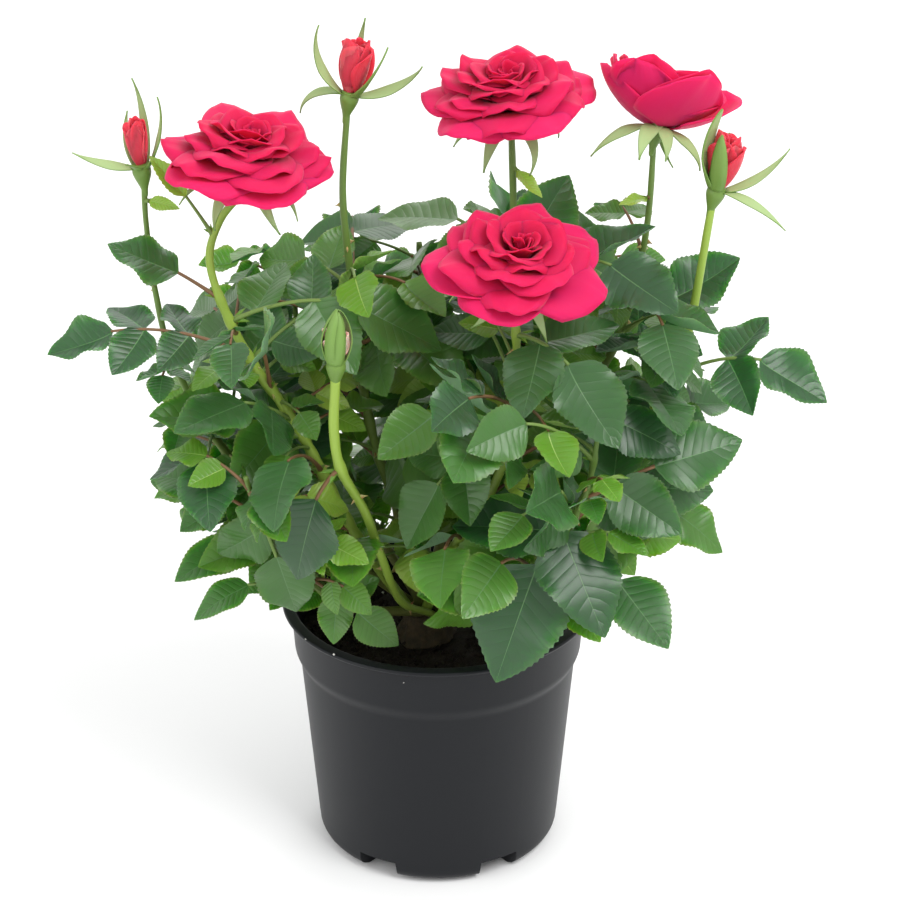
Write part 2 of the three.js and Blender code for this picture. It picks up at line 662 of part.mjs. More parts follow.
// Whether a point hides the bare front cane
const flattened = (point) => point.clone().addScaledVector(FRONT, -point.dot(FRONT) / FRONT.lengthSq());
function hidesFrontCane(point) {
  const cane = CANES.find((each) => each.name === "front_bud");
  return point.y < -20 && distanceTo(flattened(point), cane.axis.map(flattened)) < FRONT_CANE_SHOWS;
}

// Whether a leaflet or stalk has room: clear of every stem but its own, and of every leaf so far
function hasRoom(sheet, cane, named) {
  const free = (point) => inOwnSpace(point, cane) && inCrown(point) && !hidesFrontCane(point);
  if (!sheet.points.every((point) => standsClear(point, named) && (named || free(point)))) return false;
  const others = CANES.filter((other) => other !== cane || sheet.faces.length);
  if (others.some((other) => clash(sheet, other.thread, STEM_ROOM))) return false;
  return !occupied.some((other) => clash(sheet, other, ELBOW_ROOM));
}

// Tries a compound leaf, and keeps the leaflets that have room
function tryLeaf(cane, leaf, named = false) {
  const { line, end, frameAt, laid } = layLeaf(leaf);
  if (end * line.getLength() < SHORTEST_STALK) return null;
  const steps = Math.ceil((line.getLength() * end) / 3);
  const stalk = Array.from({ length: steps + 1 }, (_, i) => line.getPoint((end * i) / steps));
  const clear = threadOf(stalk.slice(1));
  if (!hasRoom(clear, cane, named)) return null;
  const kept = [];
  const sheets = [clear];
  for (const blade of laid) {
    const sheet = sheetOf(blade);
    if (!hasRoom(sheet, cane, named)) continue;
    kept.push(blade);
    sheets.push(sheet);
  }
  if (kept[0] !== laid[0]) return null;
  return { line, end, frameAt, kept, sheets, worth: kept.reduce((sum, blade) => sum + blade.length, 0) };
}

function addLeaf(cane, leaf) {
  cane.leaves.push(leaf);
  occupied.push(...leaf.sheets);
}

// Grows one leaf by the seeded rule: of several tries, the one that keeps most
function growLeaf(cane, index, random) {
  let best = null;
  for (let attempt = 0; attempt < TRIES; attempt++) {
    const along = (index + random()) / cane.count;
    const share = cane.leafy[0] + (cane.leafy[1] - cane.leafy[0]) * along;
    const root = cane.curve.getPointAt(share);
    const heading = cane.seed + index * GOLDEN_TURN + attempt * 0.8;
    const rise = degrees(30 * random() - 20 + 20 * share);
    const leaflets = random() < 0.75 ? 5 : 3;
    const size = 28 + 12 * random() - 6 * (attempt / TRIES);
    const length = size * (leaflets === 5 ? 2.35 : 1.8) * (0.9 + 0.2 * random());
    const level = vector(Math.cos(heading), Math.sin(heading), 0);
    const out = level.multiplyScalar(Math.cos(rise)).addScaledVector(UP, Math.sin(rise));
    const tip = root.clone().addScaledVector(out, length);
    const leaf = { root, tip, leaflets, size, arch: 0.18 + 0.22 * random(), roll: 0.8 * (random() - 0.5) };
    const tried = tryLeaf(cane, leaf);
    if (tried && (!best || tried.worth > best.worth)) best = tried;
  }
  if (best) addLeaf(cane, best);
}

function growLeaves() {
  for (const [name, share, tip, leaflets, size, arch, roll] of SPRAYS) {
    const cane = CANES.find((each) => each.name === name);
    const leaf = { root: cane.curve.getPointAt(share), tip: vector(...tip), leaflets, size, arch, roll };
    const tried = tryLeaf(cane, leaf, true);
    if (tried) addLeaf(cane, tried);
    else console.warn("a spray of " + name + " at " + share + " has no room");
  }
  const randoms = CANES.map((cane) => seeded(cane.seed));
  const most = Math.max(...CANES.map((cane) => cane.count));
  for (let index = 0; index < most; index++)
    CANES.forEach((cane, i) => {
      if (index < cane.count) growLeaf(cane, index, randoms[i]);
    });
}

// One leafy shoot: its stem, its leaves and its flower, fused
function makeShoot(cane) {
  const from = cane.join + GAP / cane.length;
  const radius = (share) => caneRadius(from + (1 - from) * share);
  const solids = [limb(cane.curve, from, 1, radius, CANE_SIDES, 5)];
  for (const leaf of cane.leaves) solids.push(leafSolid(leaf));
  const flower = [...BLOOMS, ...BUDS].find((each) => each.name === cane.flower);
  if (flower) solids.push(...flowerSolids(flower, cane));
  return joined(solids);
}

function makeCane(cane) {
  const radius = (share) => caneRadius(cane.join * share);
  return limb(cane.curve, 0, cane.join, radius, CANE_SIDES, 4);
}

// An open bloom on its hip: rings of petals that stand out of one body, their margins scalloped and lapped
function bloomBody(bloom) {
  const random = seeded(bloom.seed);
  const { radius, open } = bloom;
  const count = PETALS * 3;
  const lack = 1 - open;
  const foot = HIP_HEIGHT - 1;
  const rings = [
    evenRing(count, 0.8 * CANE_TIP_RADIUS, -1),
    evenRing(count, HIP_RADIUS, 0.6 * HIP_HEIGHT),
    evenRing(count, 1.1 * HIP_RADIUS, HIP_HEIGHT),
  ];
  PETAL_RINGS.forEach((ring, level) => {
    const sizes = Array.from({ length: PETALS }, () => 0.95 + 0.1 * random());
    const petals = (out, up, share) =>
      ringAt(count, (k, angle) => {
        const place = k + level;
        const phase = place % 3;
        const own = sizes[Math.floor(place / 3) % PETALS];
        const size = phase === 0 ? 1 - PETAL_NOTCH * share : 1 + (own - 1) * share;
        const reach = out * size * (1 - CUPPED.drawIn * lack) * radius;
        const lift = up + share * (CUPPED.rise * lack * ring.reach - PETAL_LAP * (phase - 1));
        return vector(Math.cos(angle) * reach, Math.sin(angle) * reach, foot + radius * lift);
      });
    if (ring.under) rings.push(petals(...ring.under, 0.4));
    rings.push(petals(ring.reach, ring.lift, 1));
    rings.push(petals(ring.reach - PETAL_EDGE[0], ring.lift + PETAL_EDGE[1], 1));
    rings.push(petals(...ring.upper, 0.6), petals(...ring.valley, CUPPED.valley * lack));
  });
  rings.push(evenRing(count, HEART.reach * radius, foot + HEART.lift * radius));
  return ringedSolid(vector(0, 0, -1.5), rings, vector(0, 0, foot + HEART.middle * radius));
}

// A closed bud on its hip
function budBody({ radius, length }) {
  const sections = [
    [0.8 * CANE_TIP_RADIUS, -1],
    [HIP_RADIUS, 0.6 * HIP_HEIGHT],
    [0.9 * HIP_RADIUS, HIP_HEIGHT],
    [radius, HIP_HEIGHT + 0.32 * length],
    [0.85 * radius, HIP_HEIGHT + 0.66 * length],
    [0.3 * radius, HIP_HEIGHT + 0.95 * length],
  ];
  const rings = sections.map(([out, up]) => evenRing(8, out, up));
  return ringedSolid(vector(0, 0, -1.5), rings, vector(0, 0, HIP_HEIGHT + length));
}

// Sepals round the top of the hip: each a narrow folded blade that leans out by its own angle
function sepals(list) {
  return list.map(([bearing, lean]) => {
    const out = vector(Math.cos(degrees(bearing)), Math.sin(degrees(bearing)), 0);
    const along = UP.clone().multiplyScalar(Math.cos(lean)).addScaledVector(out, Math.sin(lean));
    const root = vector(0, 0, HIP_HEIGHT - 1.5).addScaledVector(out, HIP_RADIUS * 0.7);
    const normal = out.clone().multiplyScalar(-Math.cos(lean)).addScaledVector(UP, Math.sin(lean));
    return sepalSolid({ root, along, normal, side: along.clone().cross(normal), length: SEPAL_LENGTH });
  });
}

function sepalSolid(blade) {
  const half = SEPAL_HALF_WIDTH * blade.length;
  const at = (share, across, off) =>
    blade.root
      .clone()
      .addScaledVector(blade.along, share * blade.length)
      .addScaledVector(blade.side, across * half)
      .addScaledVector(blade.normal, off - 0.1 * blade.length * share ** 2);
  const outline = [at(-0.08, 0, 0), at(0.3, 1, 0), at(1, 0, 0), at(0.3, -1, 0)];
  const points = [...outline, at(0.3, 0, 0.5), at(0.3, 0, -0.5)];
  const faces = [];
  for (let i = 0; i < 4; i++) faces.push(i, (i + 1) % 4, 4, (i + 1) % 4, i, 5);
  return solidOf(geometryFrom(points, faces));
}

function flowerSolids(flower, cane) {
  const facing = vector(...flower.facing).normalize();
  const at = cane.curve.getPointAt(1);
  const body = flower.open ? bloomBody(flower) : budBody(flower);
  return [body, ...sepals(flower.sepals ?? BLOOM_SEPALS)].map((each) => placed(each, at, facing));
}

// The space that each flower needs, which leaves keep out of
for (const flower of [...BLOOMS, ...BUDS]) {
  const cane = CANES.find((each) => each.flower === flower.name);
  const facing = vector(...flower.facing).normalize();
  const at = cane.curve.getPointAt(1);
  const bud = Boolean(flower.length);
  const middle = at.clone().addScaledVector(facing, HIP_HEIGHT + 0.3 * flower.radius);
  keepOut.push({ centre: middle, radius: bud ? 12 : flower.radius + 3 });
  keepOut.push({ centre: at.clone().addScaledVector(facing, -4), radius: bud ? 8 : 15 });
}

const MATERIALS = {
  pot: new THREE.MeshStandardMaterial({ color: "#26272b", roughness: 0.45, metalness: 0 }),
  soil: new THREE.MeshStandardMaterial({ color: "#1c1712", roughness: 0.95, metalness: 0 }),
  wood: new THREE.MeshStandardMaterial({ color: "#7a6a3c", roughness: 0.8, metalness: 0 }),
  cane: new THREE.MeshStandardMaterial({ color: "#7f9a34", roughness: 0.55, metalness: 0 }),
  leaf: new THREE.MeshStandardMaterial({ color: "#2f5f36", roughness: 0.45, metalness: 0 }),
};

const bush = new THREE.Group();
function add(name, solid, material) {
  const mesh = new THREE.Mesh(geometryOf(solid), material);
  mesh.name = name;
  bush.add(mesh);
}

growLeaves();
add("pot", makePot(), MATERIALS.pot);
add("soil", makeSoil(), MATERIALS.soil);
add("trunk", makeTrunk(), MATERIALS.wood);
for (const cane of CANES) {
  add("cane_" + cane.name, makeCane(cane), MATERIALS.cane);
  add("foliage_" + cane.name, makeShoot(cane), MATERIALS.leaf);
}

export default bush;
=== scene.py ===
# A rose bush in its 12 cm nursery pot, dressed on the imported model: smooth moulded pot, crumbly compost,
# green canes with prickles, toothed leaflets in sprays, and blooms and buds built petal by petal. Shapes
# are worked out in millimetres, +Z up, with the pot's underside at the origin and -Y the front.
import math

import bpy
import numpy as np
from mathutils import Matrix


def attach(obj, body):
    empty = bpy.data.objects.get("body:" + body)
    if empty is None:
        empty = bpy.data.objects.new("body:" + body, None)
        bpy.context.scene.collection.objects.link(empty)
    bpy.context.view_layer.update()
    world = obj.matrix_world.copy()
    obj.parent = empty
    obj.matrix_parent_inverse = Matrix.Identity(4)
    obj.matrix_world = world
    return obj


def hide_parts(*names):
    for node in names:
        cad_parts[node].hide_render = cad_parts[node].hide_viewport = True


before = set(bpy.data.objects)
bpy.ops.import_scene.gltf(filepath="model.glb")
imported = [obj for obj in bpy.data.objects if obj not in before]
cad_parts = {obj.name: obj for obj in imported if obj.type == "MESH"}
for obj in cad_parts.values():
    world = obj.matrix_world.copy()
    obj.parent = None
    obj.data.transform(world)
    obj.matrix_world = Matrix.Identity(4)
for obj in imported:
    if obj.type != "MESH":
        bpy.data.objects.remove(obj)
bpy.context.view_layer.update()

MM = 0.001
TURN = 2 * math.pi
UP = np.array([0.0, 0.0, 1.0])
GOLDEN_TURN = math.radians(137.5)

# The pot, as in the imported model
POT = dict(
    height=102, rim_radius=60.2, rim_thickness=1.7, collar_radius=56.8, collar_foot_radius=55.6,
    collar_foot_height=82, step_height=78.5, body_top_radius=53.6, body_foot_radius=47.4, foot_radius=42,
    corner_height=3.8, wall=1.3, floor_height=9.8, recess_height=8.4, recess_radius=36, feet=6,
    notch_height=8.2, notch_angle=math.radians(19.5),
)
SOIL_TOP = 86

# The woody foot that the canes fork from
TRUNK_FOOT = np.array([-5.0, -3.0, 86.3])
TRUNK_TOP = np.array([-4.0, -2.0, 97.0])
TRUNK_FLARE = 12
TRUNK_RADIUS = 9.4

# The rings of its fork: radius, how many canes there is room for, the first one's bearing, and the bearing
# that their order is counted from
FORK_RINGS = dict(outer=(7.4, 9, -160, -180), inner=(2.75, 4, 170, 135))
CANE_FOOT_RADIUS = 1.8
GAP = 0.3

# The crown's outline without its longest sprays, the side it is seen from, the light that leaves turn to,
# and how far to either side of the bare front cane they leave the view of it free
CROWN = dict(
    half_width=113, half_depth=98, shoulder=212, top=250, top_slope=0.14, lowest=92, lowest_outside=113,
)
FRONT = np.array([0.0, -0.9, 0.43])
LIGHT = np.array([0.0, -0.5, 1.0])
FRONT_CANE_SHOWS = 4

# Leaves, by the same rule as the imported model's. Side leaflets spread from the stalk in pairs. How far
# the first pair stands behind the end leaflet, the step to the next and each pair's size are in lengths of
# the end leaflet. A leaflet's width, fold and curl are in its own.
SPREAD = math.radians(62)
FIRST_PAIR = 0.46
PAIR_GAP = 0.66
PAIR_SIZES = (0.88, 0.78, 0.66)
PAIR_DROOP = 0.12
PAIR_TILT = 0.2
LEAF_WIDTH = 0.74
LEAF_FOLD = 0.13
LEAF_CURL = 0.13
LEAF_FACING = 0.4

# The shortest stalk below a pair and below the end leaflet, and how much nearer another cane may be than
# a leaf's own
SHORTEST_BELOW_PAIR = 6
SHORTEST_STALK = 8
SPACE_OVERLAP = 50

# The two kinds of leaf: sizes of the end leaflet, how much smaller it gets by the last try, how many
# tries there are, and the room kept from other leaves and from canes. Large leaves are the packed
# model's. The fine ones only show here: small young leaves in the gaps between the large ones.
LARGE = dict(size=28, size_range=12, shrink=6, tries=40, elbow_room=2.8, stem_room=3.6)
FINE = dict(
    size=13, size_range=9, shrink=0, tries=14, elbow_room=1.8, stem_room=2.4, count=14, seed=1000,
)

# Each cane: its ring of the fork, the stretch of it that is leafy, how many large leaves the rule tries,
# its seed, its flower, and the points it runs through to its flower or tip
CANES = [
    dict(name="left_bud", ring="outer", leafy=(0.18, 0.66), count=9, seed=11, flower="bud_left",
         path=[(-45, 2, 126), (-78, -3, 163), (-96, -5, 200), (-102, -5, 230), (-104, -5, 256),
               (-104, -5, 271)]),
    dict(name="left_bloom", ring="outer", leafy=(0.16, 0.8), count=10, seed=23, flower="bloom_left",
         path=[(-30, -14, 134), (-50, -19, 180), (-69, -22, 214), (-80, -20, 244), (-77, -15, 260),
               (-68, -13, 271)]),
    dict(name="front_bud", ring="outer", leafy=(0.62, 0.72), count=3, seed=37, flower="bud_front",
         path=[(-14, -23, 112), (-21, -35, 138), (-26, -46, 161), (-34, -56, 183), (-36, -59, 200),
               (-35, -60, 219)]),
    dict(name="tall_bud", ring="inner", leafy=(0.16, 0.72), count=9, seed=41, flower="bud_tall",
         path=[(-15, 4, 135), (-24, 7, 165), (-30, 8, 205), (-32, 10, 232), (-34, 10, 262),
               (-32, 10, 293)]),
    dict(name="back_bloom", ring="inner", leafy=(0.16, 0.8), count=9, seed=59, flower="bloom_back",
         path=[(4, 9, 135), (15, 14, 165), (24, 15, 200), (28, 15, 230), (28, 15, 258), (27, 15, 284)]),
    dict(name="front_bloom", ring="inner", leafy=(0.18, 0.82), count=10, seed=61, flower="bloom_front",
         path=[(4, -17, 128), (17, -28, 154), (26, -35, 184), (28, -38, 212), (27, -38, 242)]),
    dict(name="right_bloom", ring="inner", leafy=(0.16, 0.8), count=10, seed=75, flower="bloom_right",
         path=[(20, 3, 130), (44, 6, 161), (64, 10, 197), (73, 10, 225), (77, 10, 252), (78, 10, 281)]),
    dict(name="right_bud", ring="outer", leafy=(0.16, 0.74), count=10, seed=83, flower="bud_right",
         path=[(24, -7, 113), (48, -12, 142), (74, -15, 178), (87, -15, 206), (92, -15, 225),
               (97, -15, 266)]),
    dict(name="back_left", ring="outer", leafy=(0.18, 1), count=10, seed=97, flower=None,
         path=[(-28, 24, 126), (-46, 44, 162), (-56, 56, 200), (-58, 62, 226)]),
    dict(name="back_middle", ring="outer", leafy=(0.18, 1), count=10, seed=103, flower=None,
         path=[(-5, 26, 122), (-4, 46, 158), (-5, 60, 196), (-7, 68, 222)]),
    dict(name="back_right", ring="outer", leafy=(0.18, 1), count=10, seed=113, flower=None,
         path=[(20, 24, 124), (40, 44, 160), (50, 58, 198), (54, 64, 224)]),
    dict(name="front_right", ring="outer", leafy=(0.18, 1), count=11, seed=127, flower=None,
         path=[(20, -28, 114), (40, -46, 142), (52, -56, 172), (56, -60, 198)]),
    dict(name="front_left", ring="outer", leafy=(0.24, 1), count=10, seed=145, flower=None,
         path=[(-32, -24, 110), (-52, -38, 134), (-64, -48, 162), (-68, -52, 178)]),
]

# The sprays that make the crown's outline and the large leaves at its front: cane, place along it, tip,
# leaflets, end leaflet's length, arch and roll
SPRAYS = [
    ("front_left", 0.86, (-51, -44, 112), 3, 30, 0.1, 0.1),
    ("front_left", 0.54, (-14, -50, 106), 3, 20, 0.1, 0.1),
    ("left_bloom", 0.66, (-138, -34, 219), 7, 25, 0.26, 0.1),
    ("right_bud", 0.66, (139, -38, 204), 5, 28, 0.36, 0.1),
    ("back_middle", 0.38, (-20, 94, 176), 5, 33, 0.26, 0.1),
    ("back_right", 0.38, (44, 93, 150), 5, 32, 0.36, 0.1),
    ("front_right", 0.70, (16, -82, 101), 3, 46, 0.36, 0.1),
    ("right_bud", 0.42, (110, -20, 133), 3, 27, 0.1, 0.1),
    ("left_bud", 0.22, (-96, -34, 133), 3, 29, 0.1, 0.1),
    ("front_right", 0.78, (108, -48, 190), 3, 34, 0.1, 0.1),
    ("left_bloom", 0.78, (-115, -20, 254), 3, 27, 0.1, 0.3),
    ("left_bloom", 0.46, (-101, -34, 197), 3, 33, 0.1, 0.1),
    ("front_left", 0.82, (-105, -20, 167), 3, 24, 0.1, 0.1),
    ("left_bloom", 0.58, (-63, -62, 233), 3, 36, 0.36, -0.1),
    ("right_bloom", 0.62, (111, 14, 234), 3, 30, 0.1, 0.1),
    ("left_bloom", 0.50, (-87, -58, 203), 3, 31, 0.26, 0.1),
    ("left_bloom", 0.38, (-60, -80, 180), 3, 32, 0.36, 0.3),
    ("front_bud", 0.74, (-56, -66, 134), 1, 34, 0.36, -0.1),
    ("right_bud", 0.50, (64, -62, 142), 3, 33, 0.36, -0.1),
    ("front_bloom", 0.90, (65, -72, 194), 3, 34, 0.36, 0.1),
    ("front_bloom", 0.66, (6, -94, 201), 3, 36, 0.36, -0.1),
    ("front_right", 0.70, (36, -94, 188), 3, 32, 0.36, -0.1),
    ("left_bloom", 0.17, (-33, -64, 150), 3, 31, 0.26, 0.1),
    ("front_right", 0.26, (1, -68, 140), 3, 32, 0.36, -0.3),
    ("front_bloom", 0.62, (-18, -56, 147), 3, 27, 0.36, 0.1),
    ("back_bloom", 0.62, (46, 34, 257), 3, 34, 0.26, 0.1),
    ("right_bloom", 0.54, (57, 40, 244), 3, 32, 0.1, 0.1),
    ("back_middle", 0.90, (-12, 0, 242), 3, 33, 0.1, 0.1),
    ("back_bloom", 0.74, (-20, 30, 251), 3, 32, 0.26, 0.1),
]

# Blooms and buds. facing and radius are the room that the leaves' rule keeps for each. leans is the way
# its petals face, spread widens a bloom past its radius, and girth is a bud's own radius.
HIP_RADIUS = 3.6
HIP_HEIGHT = 7
BLOOMS = [
    dict(name="bloom_left", facing=(0.19, -0.22, 1), radius=30.5, seed=7,
         leans=(0.16, -0.12, 1), spread=1.13),
    dict(name="bloom_back", facing=(-0.07, -0.21, 1), radius=31, seed=17,
         leans=(-0.07, -0.16, 1), spread=1.07),
    dict(name="bloom_front", facing=(0.1, -0.35, 1), radius=32, seed=27,
         leans=(0.12, -0.35, 1), spread=1),
    dict(name="bloom_right", facing=(0.22, 0.17, 1), radius=29, seed=43,
         leans=(0.26, 0.46, 1), spread=1),
]
BUDS = [
    dict(name="bud_left", facing=(-0.1, 0, 1), length=17.5, radius=4.6, leans=(-0.1, 0, 1), girth=3.9),
    dict(name="bud_tall", facing=(0.16, 0, 1), length=20, radius=6, leans=(0.2, 0, 1), girth=6.1),
    dict(name="bud_right", facing=(0.12, 0, 1), length=20, radius=5.8, leans=(0.25, 0, 1), girth=5.8),
    dict(name="bud_front", facing=(0.06, 0, 1), length=13, radius=5.2, leans=(0.06, 0, 1), girth=4.3),
]

# Sepals of an open bloom and of each bud: bearing, angle from the flower's axis at the foot and at the
# tip, length and half width
BLOOM_SEPALS = [(16, 104, 160, 25, 2.5), (92, 100, 158, 22, 2.8), (166, 102, 152, 25, 2.7),
                (232, 110, 168, 22, 3.4), (306, 106, 164, 23, 3.0)]
SEPALS = dict(
    bloom_right=[(190, 108, 156, 25, 3.0), (246, 112, 172, 20, 4.0), (290, 112, 170, 18, 3.4),
                 (338, 106, 148, 23, 2.8), (70, 100, 150, 20, 2.8)],
    bud_left=[(185, 77, 56, 22, 2.3), (130, 32, -10, 20, 2.2), (70, 30, -30, 33, 2.2),
              (-12, 36, -2, 28, 2.9), (-105, 50, 70, 12, 2.4)],
    bud_tall=[(186, 62, -6, 29, 2.6), (168, 84, 175, 21, 2.2), (90, 28, -20, 28, 2.4),
              (-4, 76, 26, 29, 2.7), (-46, 42, 0, 23, 3.0)],
    bud_right=[(182, 38, -24, 30, 4.5), (5, 66, 16, 28, 2.2), (-20, 84, 126, 26, 2.2),
               (100, 35, -18, 20, 3.2), (-120, 38, -18, 22, 4.3)],
    bud_front=[(40, 24, -36, 20, 3.4), (100, 24, -36, 20, 3.4), (160, 24, -36, 21, 3.4),
               (220, 24, -36, 21, 3.5), (272, 24, -36, 20, 3.3)],
)


def seeded(seed):
    """Numbers from 0 to 1: a 32-bit count that steps by a fixed odd number, mixed by shifts and products."""
    mask = 0xFFFFFFFF
    state = seed
    while True:
        state = (state + 0x6D2B79F5) & mask
        mixed = ((state ^ state >> 15) * (state | 1)) & mask
        mixed ^= (mixed + (mixed ^ mixed >> 7) * (mixed | 61)) & mask
        yield ((mixed ^ mixed >> 14) & mask) / 4294967296


def unit(vectors):
    """Each vector over its own length."""
    return vectors / np.linalg.norm(vectors, axis=-1, keepdims=True)


def flat(vectors, axis):
    """Each vector less its part along the matching unit axis, brought to unit length."""
    return unit(vectors - np.sum(vectors * axis, axis=-1, keepdims=True) * axis)


class Curve:
    """A smooth curve through points, read by its share of length: between two points it is the cubic
    whose slope at each is half the step from the point before it to the point after it."""

    DIVISIONS = 200

    def __init__(self, points):
        ends = [2 * points[0] - points[1], *points, 2 * points[-1] - points[-2]]
        self.points = np.array(ends, float)
        table = self.at(np.linspace(0, 1, self.DIVISIONS + 1))
        steps = np.linalg.norm(np.diff(table, axis=0), axis=1)
        self.lengths = np.concatenate([[0], np.cumsum(steps)])
        self.length = self.lengths[-1]

    def at(self, t):
        """Places by the share of the spans between points."""
        spans = len(self.points) - 3
        place = np.atleast_1d(t) * spans
        first = np.minimum(place.astype(int), spans - 1)
        w = (place - first)[:, None]
        before, start, end, after = (self.points[first + k] for k in range(4))
        slope_in, slope_out = 0.5 * (end - before), 0.5 * (after - start)
        square = -3 * start + 3 * end - 2 * slope_in - slope_out
        cube = 2 * start - 2 * end + slope_in + slope_out
        return start + slope_in * w + square * w**2 + cube * w**3

    def at_share(self, share):
        """Places by the share of the length."""
        even = np.linspace(0, 1, self.DIVISIONS + 1)
        return self.at(np.interp(np.atleast_1d(share) * self.length, self.lengths, even))


def bezier(root, bend, tip, t):
    """The arc (1-t)^2 root + 2t(1-t) bend + t^2 tip and its unit direction."""
    t = np.asarray(t, float)[..., None]
    place = (1 - t) ** 2 * root + 2 * t * (1 - t) * bend + t**2 * tip
    return place, unit((1 - t) * (bend - root) + t * (tip - bend))


def set_out_canes():
    """Gives each cane its foot on the fork, its curve, and the lines that stand for it when leaves are
    kept apart."""
    for ring, (radius, slots, first, start) in FORK_RINGS.items():
        def order(cane):
            away = np.array(cane["path"][0][:2]) - TRUNK_TOP[:2]
            return (math.atan2(away[1], away[0]) - math.radians(start)) % TURN

        for index, cane in enumerate(sorted((c for c in CANES if c["ring"] == ring), key=order)):
            bearing = math.radians(first) + TURN * index / slots
            foot = TRUNK_TOP + radius * np.array([math.cos(bearing), math.sin(bearing), 0])
            lean = unit(np.array(cane["path"][0]) - foot)
            foot[2] += GAP + CANE_FOOT_RADIUS * math.sqrt(1 - lean[2] ** 2) + 0.25
            cane["curve"] = Curve([foot, *np.array(cane["path"], float)])
    for cane in CANES:
        cane["axis"] = cane["curve"].at_share(np.arange(13) / 12)
        cane["thread"] = thread_of(cane["curve"].at_share(np.arange(81) / 80))
        cane["leaves"] = []


def distance_to(points, starts, ends):
    """The distance of each point to each straight line between a start and an end."""
    along = ends - starts
    away = points[:, None] - starts
    share = np.clip(np.sum(away * along, -1) / np.sum(along * along, -1), 0, 1)
    return np.linalg.norm(away - share[..., None] * along, axis=-1)


def blade_half_width(share):
    """Half a leaflet's width, in its lengths: half the width times sin(pi share^0.72)^0.85, widest below
    the middle."""
    return 0.5 * LEAF_WIDTH * np.clip(np.sin(math.pi * np.asarray(share) ** 0.72), 0, 1) ** 0.85


class Leaf:
    """A compound leaf between its root and tip: an arched stalk, an end leaflet, and pairs of side
    leaflets down it."""

    def __init__(self, root, tip, leaflets, size, arch, roll):
        self.root, self.tip, self.roll = np.array(root, float), np.array(tip, float), roll
        chord = self.tip - self.root
        self.bend = self.root + 0.5 * chord + UP * arch * np.linalg.norm(chord)
        self.outward = unit(self.tip * (1, 1, 0))
        places, _ = bezier(self.root, self.bend, self.tip, np.linspace(0, 1, 201))
        self.run = np.linalg.norm(np.diff(places, axis=0), axis=1).sum()
        self.end = 1 - size / self.run
        pairs = range((leaflets - 1) // 2)
        shares = [self.end - (FIRST_PAIR + PAIR_GAP * pair) * size / self.run for pair in pairs]
        shares = [share for share in shares if share * self.run >= SHORTEST_BELOW_PAIR]
        count = len(shares)
        share = np.array([self.end] + [each for each in shares for _ in (0, 1)])
        self.hand = np.array([0] + [1, -1] * count)[:, None]
        self.length = size * np.array([1] + [PAIR_SIZES[pair] for pair in range(count) for _ in (0, 1)])
        self.foot, along, normal, side = self.frame_at(share)
        aside = along * math.cos(SPREAD) + side * self.hand * math.sin(SPREAD) - PAIR_DROOP * normal
        self.along = np.concatenate([unit(self.tip - self.foot[:1]), unit(aside[1:])])
        self.normal = flat(normal + side * PAIR_TILT * self.hand, self.along)
        self.side = np.cross(self.along, self.normal)

    def frame_at(self, share):
        """Place, direction, upper side and left-to-right of the stalk: the upper side turns to the light
        and outwards."""
        place, along = bezier(self.root, self.bend, self.tip, share)
        normal = flat(np.broadcast_to(LIGHT + self.outward * LEAF_FACING, along.shape), along)
        normal = normal * math.cos(self.roll) + np.cross(along, normal) * math.sin(self.roll)
        return place, along, normal, np.cross(along, normal)

    def blade_points(self, share, across):
        """Points of every leaflet, one row a leaflet: along it by share and across it from -1 to 1."""
        half = blade_half_width(share)
        height = LEAF_FOLD * (np.abs(across) - 0.5) * half - LEAF_CURL * share**2
        reach = (share, across * half, height)
        axes = (self.along, self.side, self.normal)
        offset = sum(axis[:, None] * part[None, :, None] for axis, part in zip(axes, reach))
        return self.foot[:, None] + offset * self.length[:, None, None]


def sheet_rule():
    """How the sheet that stands for a leaflet follows from its eight marked points: the weights of its
    test points, its edges and its faces. The marked points are six round the outline, the middle, and one
    above it."""
    rows, edges, faces = [(0, 0, 0, 0, 0, 0, 1, 0)], [], []
    mark = np.eye(8)
    for i in range(6):
        here, after, middle = mark[i], mark[(i + 1) % 6], mark[6]
        rows += [here] if i else []
        rows += [here + (after - here) * part / 3 for part in (1, 2)] if 0 < i < 5 else []
        rows += [here * 0.65 + middle * 0.35, here * 0.3 + middle * 0.7, (here + after) * 0.3 + middle * 0.4]
        edges += [(i, (i + 1) % 6), (i, 6)]
        faces += [(i, (i + 1) % 6, 6), (i, (i + 1) % 6, 7)]
    return np.array(rows), np.array(edges), np.array(faces)


SHEET_WEIGHTS, SHEET_EDGES, SHEET_FACES = sheet_rule()
SHEET_REACH = 0.66  # of the leaflet's length

# Where the marked points lie along and across a leaflet. The one above the middle is half way between the
# last two.
MARKED_SHARES = np.array([0, 0.22, 0.62, 1, 0.62, 0.22, 0.42, 0.42, 0.42])
MARKED_ACROSS = np.array([0, 1, 1, 0, -1, -1, 0, 1, -1])


def sheets_of(leaf):
    """One sheet a leaflet: (test points, edges, faces, centre, radius)."""
    marked = leaf.blade_points(MARKED_SHARES, MARKED_ACROSS)
    marked[:, 7] = 0.5 * (marked[:, 7] + marked[:, 8])
    marked = marked[:, :8]
    points = np.einsum("pk,nkx->npx", SHEET_WEIGHTS, marked)
    edges, faces, centres = marked[:, SHEET_EDGES], marked[:, SHEET_FACES], marked[:, 6]
    return list(zip(points, edges, faces, centres, SHEET_REACH * leaf.length))


def thread_of(points):
    """The thin line that stands for a stalk or a cane, laid out as a sheet with no faces."""
    centre = 0.5 * (points[0] + points[-1])
    edges = np.stack([points[:-1], points[1:]], axis=1)
    return points, edges, np.zeros((0, 3, 3)), centre, np.linalg.norm(points - centre, axis=1).max()


